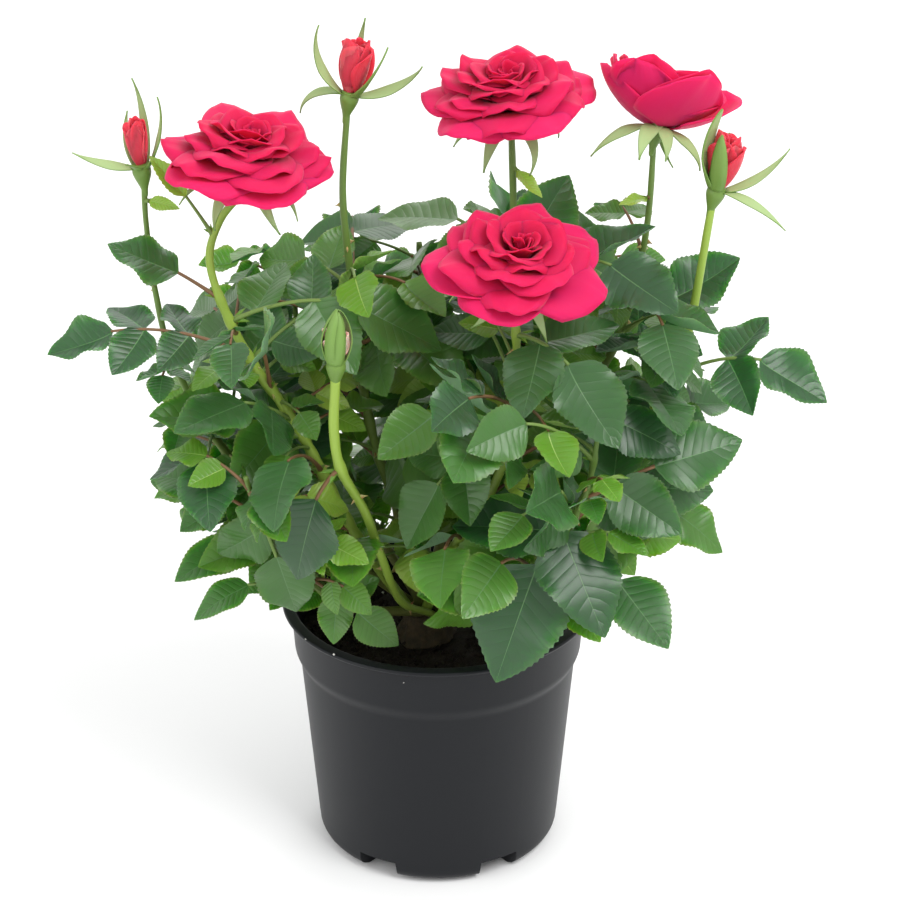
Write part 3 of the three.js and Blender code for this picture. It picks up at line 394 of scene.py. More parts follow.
def pierced(edges, faces):
    """Whether any straight edge passes through any triangle."""
    if not len(edges) or not len(faces):
        return False
    start, run = edges[:, None, 0], (edges[:, 1] - edges[:, 0])[:, None]
    corner, ab, ac = faces[:, 0], faces[:, 1] - faces[:, 0], faces[:, 2] - faces[:, 0]
    normal = np.cross(ab, ac)
    rate = np.sum(run * normal, -1)
    with np.errstate(divide="ignore", invalid="ignore"):
        share = np.sum((corner - start) * normal, -1) / rate
        hit = start + run * share[..., None] - corner
        size = np.sum(normal * normal, -1)
        u = np.sum(np.cross(hit, ac) * normal, -1) / size
        v = np.sum(np.cross(ab, hit) * normal, -1) / size
        through = (share >= 0) & (share <= 1) & (u >= 0) & (v >= 0) & (u + v <= 1)
    return bool(np.any((np.abs(rate) > 1e-9) & through))


class Taken:
    """The sheets and threads that hold room so far."""

    def __init__(self, sheets=()):
        self.sheets = list(sheets)
        self.centres = np.array([sheet[3] for sheet in self.sheets]).reshape(-1, 3)
        self.radii = np.array([sheet[4] for sheet in self.sheets])

    def add(self, sheets):
        """Holds room for more of them."""
        self.__init__(self.sheets + sheets)

    def clash(self, sheet, room):
        """Whether a sheet comes within reach of one of them or crosses it."""
        points, edges, faces, centre, radius = sheet
        close = np.linalg.norm(self.centres - centre, axis=1) <= self.radii + radius + room
        near = np.flatnonzero(close)
        if not len(near):
            return False
        apart = np.linalg.norm(points[:, None] - self.centres[near], axis=-1)
        near = near[np.any(apart < self.radii[near] + room, axis=0)]
        if not len(near):
            return False
        others = [self.sheets[i] for i in near]
        places = np.concatenate([other[0] for other in others])
        if np.sum((points[:, None] - places) ** 2, axis=-1).min() < room**2:
            return True
        their_faces = np.concatenate([other[2] for other in others])
        their_edges = np.concatenate([other[1] for other in others])
        return pierced(edges, their_faces) or pierced(their_edges, faces)


def flower_rooms():
    """Two spheres a flower, one about its petals and one about its neck: centres and radii."""
    centres, radii = [], []
    for flower in BLOOMS + BUDS:
        cane = next(cane for cane in CANES if cane["flower"] == flower["name"])
        at, facing = cane["curve"].at_share(1)[0], unit(np.array(flower["facing"], float))
        bud = "length" in flower
        centres += [at + facing * (HIP_HEIGHT + 0.3 * flower["radius"]), at - facing * 4]
        radii += [12 if bud else flower["radius"] + 3, 8 if bud else 15]
    return np.array(centres), np.array(radii)


class Bush:
    """Grows the leaves by the seeded rule and keeps them clear of each other, of the canes, the pot and
    the flowers."""

    def __init__(self):
        set_out_canes()
        self.keep_out = flower_rooms()
        self.taken = Taken()
        self.starts = np.concatenate([cane["axis"][:-1] for cane in CANES])
        self.ends = np.concatenate([cane["axis"][1:] for cane in CANES])
        bare = next(cane for cane in CANES if cane["name"] == "front_bud")["axis"]
        self.bare = self.flattened(bare)
        self.stems = Taken([cane["thread"] for cane in CANES])
        self.other_stems = {
            cane["name"]: Taken([each["thread"] for each in CANES if each is not cane]) for cane in CANES
        }

    @staticmethod
    def flattened(points):
        """Points moved along the line of sight onto a plane through the origin."""
        return points - np.sum(points * FRONT, -1, keepdims=True) * FRONT / np.sum(FRONT * FRONT)

    def stands_clear(self, points, named):
        """Clear by 1 to 4 mm of the pot's rim, the compost and the woody foot, and, unless the spray is a
        named one, outside the flowers' rooms."""
        out = np.hypot(points[:, 0], points[:, 1])
        in_rim = (out > POT["collar_radius"] - 4) & (out < POT["rim_radius"] + 3)
        if np.any((points[:, 2] < POT["height"] + 2) & in_rim) or np.any(points[:, 2] < SOIL_TOP + 2):
            return False
        if np.any(distance_to(points, TRUNK_FOOT[None], TRUNK_TOP[None]) < TRUNK_FLARE + 1):
            return False
        centres, radii = self.keep_out
        return named or bool(np.all(np.linalg.norm(points[:, None] - centres, axis=-1) > radii))

    def in_own_space(self, points, index):
        """Nearer to its own cane than to any other, give or take the share of room that masses lend each
        other."""
        away = distance_to(points, self.starts, self.ends).reshape(len(points), len(CANES), -1).min(axis=2)
        own = away[:, index].copy()
        away[:, index] = np.inf
        return bool(np.all(own < SPACE_OVERLAP + away.min(axis=1)))

    def in_crown(self, points):
        """Inside the barrel x^2/w^2 + y^2/d^2 < 1 - half the square of how far the point is from shoulder
        to top."""
        x, y, z = points.T
        top = CROWN["top"] + CROWN["top_slope"] * x
        floor = np.where(np.hypot(x, y) > POT["collar_radius"], CROWN["lowest_outside"], CROWN["lowest"])
        if np.any(z > top) or np.any(z < floor):
            return False
        draw_in = np.maximum(0, z - CROWN["shoulder"]) / (top - CROWN["shoulder"])
        wide = (x / CROWN["half_width"]) ** 2 + (y / CROWN["half_depth"]) ** 2
        return bool(np.all(wide < 1 - 0.5 * draw_in**2))

    def hides_front_cane(self, points):
        """Whether any point more than 20 mm to the front of the middle hides the bare front cane."""
        ahead = points[points[:, 1] < -20]
        if not len(ahead):
            return False
        away = distance_to(self.flattened(ahead), self.bare[:-1], self.bare[1:])
        return bool(np.any(away < FRONT_CANE_SHOWS))

    def has_room(self, sheet, index, kind, named):
        """Whether a leaflet's sheet or a stalk's thread clears all that is there."""
        points = sheet[0]
        if not self.stands_clear(points, named):
            return False
        free = named or (self.in_own_space(points, index) and self.in_crown(points))
        if not free or (not named and self.hides_front_cane(points)):
            return False
        stems = self.stems if len(sheet[2]) else self.other_stems[CANES[index]["name"]]
        crossed = stems.clash(sheet, kind["stem_room"]) or self.taken.clash(sheet, kind["elbow_room"])
        return not crossed

    def try_leaf(self, index, leaf, kind, named=False):
        """The leaflets of a leaf that have room, or nothing where its stalk or its end leaflet has none.
        The stalk is tested every 3 mm."""
        if leaf.end * leaf.run < SHORTEST_STALK:
            return None
        steps = math.ceil(leaf.run * leaf.end / 3)
        stalk, _ = bezier(leaf.root, leaf.bend, leaf.tip, leaf.end * np.arange(1, steps + 1) / steps)
        thread = thread_of(stalk)
        if not self.has_room(thread, index, kind, named):
            return None
        sheets = sheets_of(leaf)
        kept = []
        for number, sheet in enumerate(sheets):
            if self.has_room(sheet, index, kind, named):
                kept.append(number)
            elif not number:
                return None
        held = [thread] + [sheets[number] for number in kept]
        return dict(leaf=leaf, kept=kept, sheets=held, worth=leaf.length[kept].sum(), fine=kind is FINE)

    def add(self, cane, tried):
        """Hangs a leaf on its cane and takes up its room."""
        cane["leaves"].append(tried)
        self.taken.add(tried["sheets"])

    def grow_leaf(self, index, number, random, kind):
        """Of several tries at a leaf, the one that keeps most. The bearing turns by the golden angle from
        leaf to leaf and a little from try to try. A leaf rises by -20 to 10 degrees, and by up to 20 more
        towards the cane's tip, and three in four have five leaflets."""
        cane = CANES[index]
        tries = kind["tries"]
        count = kind.get("count", cane["count"])
        best = None
        for attempt in range(tries):
            low, high = cane["leafy"]
            share = low + (high - low) * (number + next(random)) / count
            root = cane["curve"].at_share(share)[0]
            heading = cane["seed"] + number * GOLDEN_TURN + attempt * 0.8
            rise = math.radians(30 * next(random) - 20 + 20 * share)
            leaflets = 5 if next(random) < 0.75 else 3
            size = kind["size"] + kind["size_range"] * next(random) - kind["shrink"] * (attempt / tries)
            length = size * (2.35 if leaflets == 5 else 1.8) * (0.9 + 0.2 * next(random))
            out = np.array([math.cos(heading), math.sin(heading), 0]) * math.cos(rise) + UP * math.sin(rise)
            arch = 0.18 + 0.22 * next(random)
            roll = 0.8 * (next(random) - 0.5)
            leaf = Leaf(root, root + out * length, leaflets, size, arch, roll)
            tried = self.try_leaf(index, leaf, kind)
            if tried and (not best or tried["worth"] > best["worth"]):
                best = tried
        if best:
            self.add(cane, best)

    def grow(self):
        """The named sprays, then the large leaves, one on each cane in turn, then the fine ones."""
        names = [cane["name"] for cane in CANES]
        for name, share, tip, leaflets, size, arch, roll in SPRAYS:
            index = names.index(name)
            leaf = Leaf(CANES[index]["curve"].at_share(share)[0], tip, leaflets, size, arch, roll)
            tried = self.try_leaf(index, leaf, LARGE, named=True)
            if tried:
                self.add(CANES[index], tried)
        randoms = [seeded(cane["seed"]) for cane in CANES]
        for number in range(max(cane["count"] for cane in CANES)):
            for index, cane in enumerate(CANES):
                if number < cane["count"]:
                    self.grow_leaf(index, number, randoms[index], LARGE)
        randoms = [seeded(FINE["seed"] + cane["seed"]) for cane in CANES]
        for number in range(FINE["count"]):
            for index in range(len(CANES)):
                self.grow_leaf(index, number, randoms[index], FINE)


# Surfaces


class Piece:
    """Gathers patches of points and faces, in millimetres, and makes them one mesh in the row's frame."""

    def __init__(self, name, *materials):
        self.name, self.materials = name, materials
        self.points, self.faces, self.slots, self.places, self.rims = [], [], [], [], []
        self.count = 0

    def add(self, points, faces, slots=0, place=None, rim=None):
        """faces is a list of integer arrays, one row a face. slots is one number or one array for each of
        them. place is each point's place on its surface, and rim marks the points of an edge that stays
        sharp."""
        points = np.asarray(points, float).reshape(-1, 3)
        if not isinstance(slots, (list, tuple)):
            slots = [slots] * len(faces)
        self.faces += [np.asarray(each) + self.count for each in faces]
        self.slots += [np.broadcast_to(slot, len(each)) for slot, each in zip(slots, faces)]
        place = np.zeros((len(points), 2)) if place is None else np.asarray(place, float)
        self.places.append(place.reshape(-1, 2))
        self.rims.append(np.zeros(len(points), bool) if rim is None else rim)
        self.points.append(points)
        self.count += len(points)

    def make(self, slot, *nodes):
        """The mesh, in metres, on the one body, and in the place of the nodes named. slot is not used."""
        points, places, rims = (np.concatenate(each) for each in (self.points, self.places, self.rims))
        corners = np.concatenate([each.ravel() for each in self.faces]).astype(np.int32)
        sizes = np.concatenate([np.full(len(each), each.shape[1]) for each in self.faces])
        mesh = bpy.data.meshes.new(self.name)
        mesh.vertices.add(len(points))
        mesh.vertices.foreach_set("co", (points * MM).astype(np.float32).ravel())
        mesh.loops.add(len(corners))
        mesh.loops.foreach_set("vertex_index", corners)
        mesh.polygons.add(len(sizes))
        starts = np.concatenate([[0], np.cumsum(sizes)[:-1]]).astype(np.int32)
        mesh.polygons.foreach_set("loop_start", starts)
        mesh.polygons.foreach_set("material_index", np.concatenate(self.slots).astype(np.int32))
        mesh.polygons.foreach_set("use_smooth", np.ones(len(sizes), bool))
        mesh.uv_layers.new(name="place").data.foreach_set("uv", places[corners].astype(np.float32).ravel())
        mesh.update(calc_edges=True)
        edges = np.empty(len(mesh.edges) * 2, np.int32)
        mesh.edges.foreach_get("vertices", edges)
        mesh.edges.foreach_set("use_edge_sharp", rims[edges.reshape(-1, 2)].all(axis=1))
        for material in self.materials:
            mesh.materials.append(material)
        made = bpy.data.objects.new(self.name, mesh)
        bpy.context.scene.collection.objects.link(made)
        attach(made, "root")
        if nodes:
            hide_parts(*nodes)


def grid_faces(rows, columns, closed=False, patches=1):
    """The four-cornered faces of patches that follow each other, each a grid of points. closed joins last
    column to first."""
    across = columns if closed else columns - 1
    row, column = np.meshgrid(np.arange(rows - 1) * columns, np.arange(across), indexing="ij")
    after, over = (column + 1) % columns, row + columns
    one = np.stack([row + column, row + after, over + after, over + column], -1)
    starts = np.arange(patches)[:, None, None] * rows * columns
    return (one.reshape(1, -1, 4) + starts).reshape(-1, 4)


def tube_faces(rows, sides, patches=1):
    """A closed tube's faces: its sides, and one many-cornered face at each end."""
    starts = np.arange(patches)[:, None] * rows * sides
    foot = starts + np.arange(sides)[::-1]
    return [grid_faces(rows, sides, True, patches), foot, starts + (rows - 1) * sides + np.arange(sides)]


def carried(profile, bearings):
    """A profile of (radius, height) carried round +Z: x = r cos(b), y = r sin(b), z = h, one row a
    profile point."""
    radius, height = profile[:, :1], profile[:, 1:]
    return np.stack([radius * np.cos(bearings), radius * np.sin(bearings), height + 0 * bearings], axis=-1)


def filleted(corners, radius, steps=4):
    """An outline whose corners are rounded: each becomes a parabola between points set back along both of
    its sides by the radius, or by under half a side where that is short."""
    corners = np.array(corners, float)
    inner = corners[1:-1]
    back, ahead = corners[:-2] - inner, corners[2:] - inner
    size_back = np.linalg.norm(back, axis=1, keepdims=True)
    size_ahead = np.linalg.norm(ahead, axis=1, keepdims=True)
    radius = np.broadcast_to(np.asarray(radius, float), len(inner))[:, None]
    start = inner + back / size_back * np.minimum(radius, 0.49 * size_back)
    end = inner + ahead / size_ahead * np.minimum(radius, 0.49 * size_ahead)
    t = np.linspace(0, 1, steps + 1)[None, :, None]
    arcs = (1 - t) ** 2 * start[:, None] + 2 * t * (1 - t) * inner[:, None] + t**2 * end[:, None]
    return np.concatenate([corners[:1], arcs.reshape(-1, 2), corners[-1:]])


def ripple(points, scale, seed, waves=7):
    """Smooth noise from -1 to 1: the mean of sines that run in seeded directions, with wavelengths near
    the scale."""
    random = np.random.default_rng(seed)
    directions = unit(random.normal(size=(waves, 3)))
    rates = TURN / scale * random.uniform(0.6, 1.7, waves)
    phases = random.uniform(0, TURN, waves)
    return np.sin(points @ (directions * rates[:, None]).T + phases).sum(axis=-1) * 2 / waves


def about(facing):
    """The turn that brings +Z to a direction by the shortest way, as a 3 by 3 array."""
    facing = unit(np.array(facing, float))
    axis = np.cross(UP, facing)
    if np.linalg.norm(axis) < 1e-9:
        return np.eye(3)
    return np.array(Matrix.Rotation(math.acos(facing[2]), 3, axis))


# Finishes


def linear(colour):
    """sRGB hex to linear light: c / 12.92 up to 0.04045, and ((c + 0.055) / 1.055) ** 2.4 above."""
    parts = [int(colour[i : i + 2], 16) / 255 for i in (1, 3, 5)]
    return (*[c / 12.92 if c <= 0.04045 else ((c + 0.055) / 1.055) ** 2.4 for c in parts], 1)


def add_node(tree, kind, settings=None, links=None):
    """Adds a node, sets its inputs or options by name, and links its inputs to the sockets given."""
    made = tree.nodes.new("ShaderNode" + kind)
    for name, value in (settings or {}).items():
        if isinstance(name, int) or name in made.inputs:
            made.inputs[name].default_value = value
        else:
            setattr(made, name, value)
    for name, socket in (links or {}).items():
        tree.links.new(socket, made.inputs[name])
    return made


def finish_of(name, colour, second=None, patch_mm=8.0, relief=None, **settings):
    """A material of one colour, or of two that change over in soft patches of a given size, on the shader
    that Blender calls principled. relief is (a function that makes the height, its depth in
    millimetres)."""
    material = bpy.data.materials.new(name)
    material.use_nodes = True
    tree = material.node_tree
    shader = tree.nodes["Principled BSDF"]
    shader.inputs["Base Color"].default_value = linear(colour)
    place = add_node(tree, "TexCoord")
    for each, value in settings.items():
        shader.inputs[each.replace("_", " ")].default_value = value
    if second:
        patches = {"Scale": 1 / (patch_mm * MM), "Detail": 3.0}
        noise = add_node(tree, "TexNoise", patches, {"Vector": place.outputs["Object"]})
        edges = {"From Min": 0.35, "From Max": 0.65}
        share = add_node(tree, "MapRange", edges, {"Value": noise.outputs["Fac"]})
        both = {"data_type": "RGBA", 6: linear(colour), 7: linear(second)}
        mixed = add_node(tree, "Mix", both, {"Factor": share.outputs["Result"]})
        tree.links.new(mixed.outputs[2], shader.inputs["Base Color"])
    if relief:
        height, depth = relief
        depths = {"Strength": 1.0, "Distance": depth * MM}
        bump = add_node(tree, "Bump", depths, {"Height": height(tree, place)})
        tree.links.new(bump.outputs["Normal"], shader.inputs["Normal"])
    return material


def grain(size_mm):
    """Relief of a fine even grain of a given size."""

    def height(tree, place):
        settings = {"Scale": 1 / (size_mm * MM), "Detail": 4.0, "Roughness": 0.6}
        return add_node(tree, "TexNoise", settings, {"Vector": place.outputs["Object"]}).outputs["Fac"]

    return height


def streaks(across, along):
    """Relief of streaks that run along a surface, from its place on it: noise stretched by two rates."""

    def height(tree, place):
        turned = add_node(tree, "Mapping", {"Scale": (across, along, 1)}, {"Vector": place.outputs["UV"]})
        settings = {"Scale": 1.0, "Detail": 3.0}
        return add_node(tree, "TexNoise", settings, {"Vector": turned.outputs["Vector"]}).outputs["Fac"]

    return height


def veined(pairs, slant):
    """Relief of a leaflet between its side veins: |sin(pi (pairs * along - slant * distance from the
    midrib))|^0.6."""

    def height(tree, place):
        parts = add_node(tree, "SeparateXYZ", links={"Vector": place.outputs["UV"]})
        centred = add_node(tree, "Math", {"operation": "SUBTRACT", 1: 0.5}, {0: parts.outputs["X"]})
        aside = add_node(tree, "Math", {"operation": "ABSOLUTE"}, {0: centred.outputs[0]})
        lag = add_node(tree, "Math", {"operation": "MULTIPLY", 1: slant}, {0: aside.outputs[0]})
        rows = add_node(tree, "Math", {"operation": "MULTIPLY", 1: pairs}, {0: parts.outputs["Y"]})
        turns = add_node(tree, "Math", {"operation": "SUBTRACT"}, {0: rows.outputs[0], 1: lag.outputs[0]})
        angle = add_node(tree, "Math", {"operation": "MULTIPLY", 1: math.pi}, {0: turns.outputs[0]})
        wave = add_node(tree, "Math", {"operation": "SINE"}, {0: angle.outputs[0]})
        fold = add_node(tree, "Math", {"operation": "ABSOLUTE"}, {0: wave.outputs[0]})
        return add_node(tree, "Math", {"operation": "POWER", 1: 0.6}, {0: fold.outputs[0]}).outputs[0]

    return height


# Leaf blades under a thin wax: a broad soft gloss over dark green, lighter and yellower on young leaves
LEAF_COLOURS = [
    ("oldest", "#2C4C2D"), ("old", "#35592F"), ("dark", "#3E662C"), ("full", "#48702B"), ("mid", "#527C2B"),
    ("fresh", "#5A8626"), ("young", "#6A942C"), ("newest", "#8AAA40"),
]

# Numbers of a leaf's finishes: the first young colour and the newest, then where undersides and midribs
# begin, each of them dark first and young second
FIRST_YOUNG = 5
NEWEST = len(LEAF_COLOURS) - 1
UNDERSIDES = len(LEAF_COLOURS)
MIDRIBS = UNDERSIDES + 2

LEAF_LOOK = dict(
    IOR=1.45, Specular_IOR_Level=0.5, Subsurface_Weight=0.2, Subsurface_Scale=0.002,
    Subsurface_Radius=(0.3, 1.0, 0.12),
)


def leaf_finishes():
    """One waxed finish a colour, then the dull undersides, dark and young, and the midribs to match."""
    relief = (veined(9.5, 3.4), 0.1)
    made = [
        finish_of("waxed_leaf_" + name, colour, relief=relief, Roughness=0.32, **LEAF_LOOK)
        for name, colour in LEAF_COLOURS
    ]
    for name, colour in (("dark", "#6B8C68"), ("young", "#8FAC5C")):
        made.append(finish_of("leaf_underside_" + name, colour, relief=relief, Roughness=0.6, **LEAF_LOOK))
    for name, colour in (("dark", "#55794C"), ("young", "#8DAE55")):
        made.append(finish_of("leaf_midrib_" + name, colour, Roughness=0.45, **LEAF_LOOK))
    return made


# Petal skin of tiny domed cells, velvety: bright where it faces the light, deep crimson in the folds. The
# colours step darker from the outer ring to the centre: partly the petals' own deeper red, partly painted
# shade of the cupped middle
PETAL_COLOURS = [
    ("rim", "#D9205C"), ("outer", "#D11D53"), ("middle", "#CA1B4C"), ("inner", "#C51A48"),
    ("deep_and_shaded_heart", "#BE1842"), ("bud", "#D43C4C"), ("bud_tip", "#E4525C"), ("closed", "#DDAE9C"),
]

# Numbers of a petal's finishes: for each ring of a bloom from the outside in, darker inwards as partly
# painted shade, and for buds
RING_TONES_WITH_PAINTED_SHADE = np.array([0, 1, 1, 2, 2, 3, 3, 4])
BUD, BUD_TIP, CLOSED = 5, 6, 7

PETAL_LOOK = dict(
    Roughness=0.6, IOR=1.35, Specular_IOR_Level=0.2, Sheen_Weight=0.08, Sheen_Roughness=0.4,
    Subsurface_Weight=0.45, Subsurface_Scale=0.003, Subsurface_Radius=(1.0, 0.12, 0.25),
)


def petal_finishes():
    """One velvety finish a colour, with fine veins along the petal."""
    veins = (streaks(26, 2.5), 0.1)
    return [finish_of("petal_" + name, colour, relief=veins, **PETAL_LOOK) for name, colour in PETAL_COLOURS]


# Leaves

TOOTH = 0.02  # of the leaflet's length
BLADE_THICKNESS = 0.35
RIB_HALF_WIDTH = 0.22


def blade_pattern(stations, teeth):
    """One leaflet's points and faces. Its rows run from the foot to the tip, each with two margin points,
    two half way out and two beside the midrib, the inner four once more on the underside. Between two
    rows a margin has some more points, every other one of them a tooth, and the faces there fan out from
    the nearer inner point."""
    stations = np.array(stations)
    rows = len(stations)
    top = np.arange(rows * 6).reshape(rows, 6)
    under = top.copy()
    under[:, 1:5] = rows * 6 + np.arange(rows * 4).reshape(rows, 4)
    toothed = rows * 10 + np.arange(rows * 2 * teeth).reshape(rows, 2, teeth)
    foot = rows * 10 + rows * 2 * teeth
    tip = foot + 1
    steps = np.concatenate([top[1:], np.full((1, 6), tip)])
    quads = [np.stack([top[:-1, k], top[:-1, k + 1], top[1:, k + 1], top[1:, k]], -1) for k in (1, 2, 3)]
    fans = [[foot, top[0, k + 1], top[0, k]] for k in range(5)]
    fans += [[tip, top[-1, k], top[-1, k + 1]] for k in (1, 2, 3)]
    edges = []
    for hand, (margin, inner) in enumerate(((0, 1), (5, 4))):
        chain = np.hstack([top[:, margin : margin + 1], toothed[:, hand], steps[:, margin : margin + 1]])
        last = teeth + 1
        half = last // 2
        near, far = top[:, inner], steps[:, inner]
        cells = [np.stack([near, chain[:, j + 1], chain[:, j]], -1) for j in range(half)]
        cells.append(np.stack([near[:-1], far[:-1], chain[:-1, half]], -1))
        cells += [np.stack([far[:-1], chain[:-1, j + 1], chain[:-1, j]], -1) for j in range(half, last)]
        cells += [np.stack([near[-1:], chain[-1:, j + 1], chain[-1:, j]], -1) for j in range(half, last)]
        edges.append(np.concatenate(cells)[:, ::-1] if hand else np.concatenate(cells))
    tops = [np.concatenate(quads), np.array(fans), np.concatenate(edges)]
    swap = np.arange(tip + 1)
    swap[top] = under
    is_rib = [
        np.repeat([0, 1, 0], rows - 1), np.array([0, 0, 1, 0, 0, 0, 1, 0]), np.zeros(len(tops[2]), int),
    ]
    part = np.arange(1, teeth + 1)
    shares, across, level, beside, sharp = np.zeros((5, tip + 1))
    across[top], beside[top] = (-1, -0.55, 0, 0, 0.55, 1), (0, 0, -1, 1, 0, 0)
    across[under], beside[under] = across[top], beside[top]
    shares[top] = shares[under] = stations[:, None]
    level[under[:, 1:5]] = -1
    across[toothed] = np.array([-1, 1])[:, None]
    widths = np.append(np.diff(stations), 1 - stations[-1])[:, None]
    shares[toothed] = (stations[:, None] + widths * (part + 0.4 * (part % 2)) / (teeth + 1))[:, None]
    sharp[toothed[..., ::2]] = 1
    shares[tip] = 1
    rim = np.zeros(tip + 1, bool)
    rim[[*top[:, [0, 5]].ravel(), *toothed.ravel(), foot, tip]] = True
    unders = [np.roll(swap[each][:, ::-1], 1, axis=1) for each in tops]
    return [*tops, *unders], is_rib, shares, across, level, beside, sharp, rim


LARGE_BLADE = blade_pattern([0.08, 0.18, 0.29, 0.4, 0.51, 0.62, 0.73, 0.84, 0.93], 3)
SMALL_BLADE = blade_pattern([0.12, 0.3, 0.5, 0.7, 0.87], 3)
TINY_BLADE = blade_pattern([0.2, 0.6], 0)


def add_blades(piece, pattern, foot, axes, length, width, fold, curl, wave, colour):
    """Adds leaflets, one row of each array a leaflet. axes are the ways along it, to its right and off
    its upper side. A point lies along the leaflet by its share s, across it by a times the half width,
    and off it by fold * |a| * half width - curl * s^2 + a wave of the margin, while the tip swings aside
    with s^2. The underside lies a thickness below, which fades to nothing at the margin."""
    faces, is_rib, s, a, level, beside, sharp, rim = pattern
    count, size = len(foot), len(s)
    sizes = (np.broadcast_to(np.asarray(each, float), count) for each in (length, width, fold, curl))
    length, width, fold, curl = (each[:, None] for each in sizes)
    ruffle, phase, swing = wave.T[..., None]
    scale = np.minimum(1, length / 20)
    half = blade_half_width(s) * width / LEAF_WIDTH
    margin = half + TOOTH * sharp * np.sin(math.pi * s) ** 0.5
    out = a * margin + beside * RIB_HALF_WIDTH * (1.1 - s) * scale / length
    height = fold * (np.abs(a) - 0.5) * half - curl * s**2 + 0.05 * np.sin(math.pi * np.abs(a)) * half
    height = height + ruffle * a**2 * half * np.sin(1.7 * TURN * s + phase)
    height = height * length + level * BLADE_THICKNESS * scale
    reach = (s * length, (out + swing * s**2) * length, height)
    points = foot[:, None] + sum(axis[:, None] * part[..., None] for axis, part in zip(axes, reach))
    starts = np.arange(count)[:, None, None] * size
    top, under, midrib = (np.asarray(each)[:, None] for each in colour)
    slots = [np.where(rib > 0, midrib, skin).ravel() for skin in (top, under) for rib in is_rib]
    place = np.stack(np.broadcast_arrays(a * 0.5 + 0.5, s, np.zeros((count, 1)))[:2], -1)
    patches = [(each[None] + starts).reshape(-1, each.shape[1]) for each in faces]
    piece.add(points, patches, slots, place, np.tile(rim, count))


# Young leaves under the flowers: cane, place along it, tip and length
BRACTS = [("left_bloom", 0.9, (-99, -12, 284), 19), ("left_bud", 0.97, (-92, -14, 266), 13),
          ("back_bloom", 0.93, (38, 6, 262), 14), ("right_bloom", 0.9, (66, 2, 262), 13)]
BRACT_WIDTH = 0.4


def tone_of(leaf, fine, chance):
    """The number of a leaf's colour, 7 - 6.6 * age: dark high up and outside, fresh inside and low down.
    Its age is 0.7 of how far out it stands, half of how high in steps of 150 mm, and a chance, less 0.4
    for a fine leaf."""
    middle = leaf.foot[0]
    out = np.hypot(middle[0] / CROWN["half_width"], middle[1] / CROWN["half_depth"])
    age = 0.7 * out + 0.5 * (middle[2] - POT["height"]) / 150 + chance - 0.4 * fine
    return int(np.clip(7 - 6.6 * age, 0, NEWEST))


def dress_leaves():
    """The leaflets of every leaf, the stalks that carry them, and the narrow stipules at each stalk's
    foot. The stalks' thin bark is smooth and half glossy, green or flushed with brown by the sun."""
    random = np.random.default_rng(5)
    finishes = leaf_finishes()
    large, small = Piece("leaflets", *finishes), Piece("young_leaflets", *finishes)
    stalks = Piece(
        "leaf_stalks", finish_of("green_stalk", "#6A8440", Roughness=0.5, IOR=1.42),
        finish_of("flushed_stalk", "#76583A", Roughness=0.5, IOR=1.42),
    )
    names = [cane["name"] for cane in CANES]
    for name, share, tip, size in BRACTS:
        cane = CANES[names.index(name)]
        leaf = Leaf(cane["curve"].at_share(share)[0], tip, 1, size, 0.05, 0.2)
        cane["leaves"].append(dict(leaf=leaf, kept=[0], fine=True, bract=True))
    for cane in CANES:
        for grown in cane["leaves"]:
            leaf, kept, fine = grown["leaf"], grown["kept"], grown["fine"]
            count = len(kept)
            bract = "bract" in grown
            chance = random.uniform(-0.3, 0.3)
            tone = NEWEST if bract else tone_of(leaf, fine, chance)
            young = int(tone >= FIRST_YOUNG)
            colour = [np.full(count, k) for k in (tone, UNDERSIDES + young, MIDRIBS + young)]
            fold = np.abs(random.normal(0.22, 0.2, count)) + 0.04
            wave = np.stack([random.uniform(0.05, 0.25, count), random.uniform(0, TURN, count),
                             random.uniform(-0.08, 0.08, count)], 1)
            axes = leaf.along[kept], leaf.side[kept], leaf.normal[kept]
            add_blades(small if fine else large, SMALL_BLADE if fine else LARGE_BLADE, leaf.foot[kept], axes,
                       leaf.length[kept], BRACT_WIDTH if bract else LEAF_WIDTH, fold,
                       random.uniform(0.08, 0.28, count), wave, colour)
            add_stalk(stalks, leaf, int(random.random() < 0.4))
            add_stipules(small, leaf)
    nodes = ["foliage_" + name for name in names]
    for piece, slot in ((large, "foliage"), (small, "foliage"), (stalks, "cane")):
        piece.make(slot, *nodes)


def add_stalk(piece, leaf, tone, rows=12, sides=7):
    """A leaf's stalk along its arc, thickest where it clasps the cane: 0.85 - 0.4 share + 0.7
    exp(-distance / 2.5) mm."""
    share = leaf.end * np.linspace(0, 1.02, rows)
    place, _, normal, side = leaf.frame_at(share)
    size = 0.55 + 0.45 * leaf.length[0] / 32
    radius = ((0.85 - 0.4 * share + 0.7 * np.exp(-share * leaf.run / 2.5)) * size)[:, None]
    ring = -TURN * np.arange(sides) / sides
    around = side[:, None] * np.cos(ring)[:, None] + normal[:, None] * 0.85 * np.sin(ring)[:, None]
    piece.add(place[:, None] + around * radius[..., None], tube_faces(rows, sides), tone)


def add_stipules(piece, leaf):
    """Two narrow blades at the foot of a leaf's stalk, one on each side of it."""
    _, along, normal, side = leaf.frame_at(np.array([0.0, 0.0]))
    heading = flat(along + 0.45 * side * [[1], [-1]], normal)
    axes = heading, np.cross(heading, normal), normal
    wave = np.array([[0.1, 1.0, 0.05], [0.1, 1.0, -0.05]])
    colour = [np.full(2, k) for k in (FIRST_YOUNG, UNDERSIDES + 1, MIDRIBS + 1)]
    size = 0.2 * leaf.length[0]
    add_blades(piece, TINY_BLADE, leaf.root + along, axes, size, 0.26, 0.5, 0.1, wave, colour)


# Canes

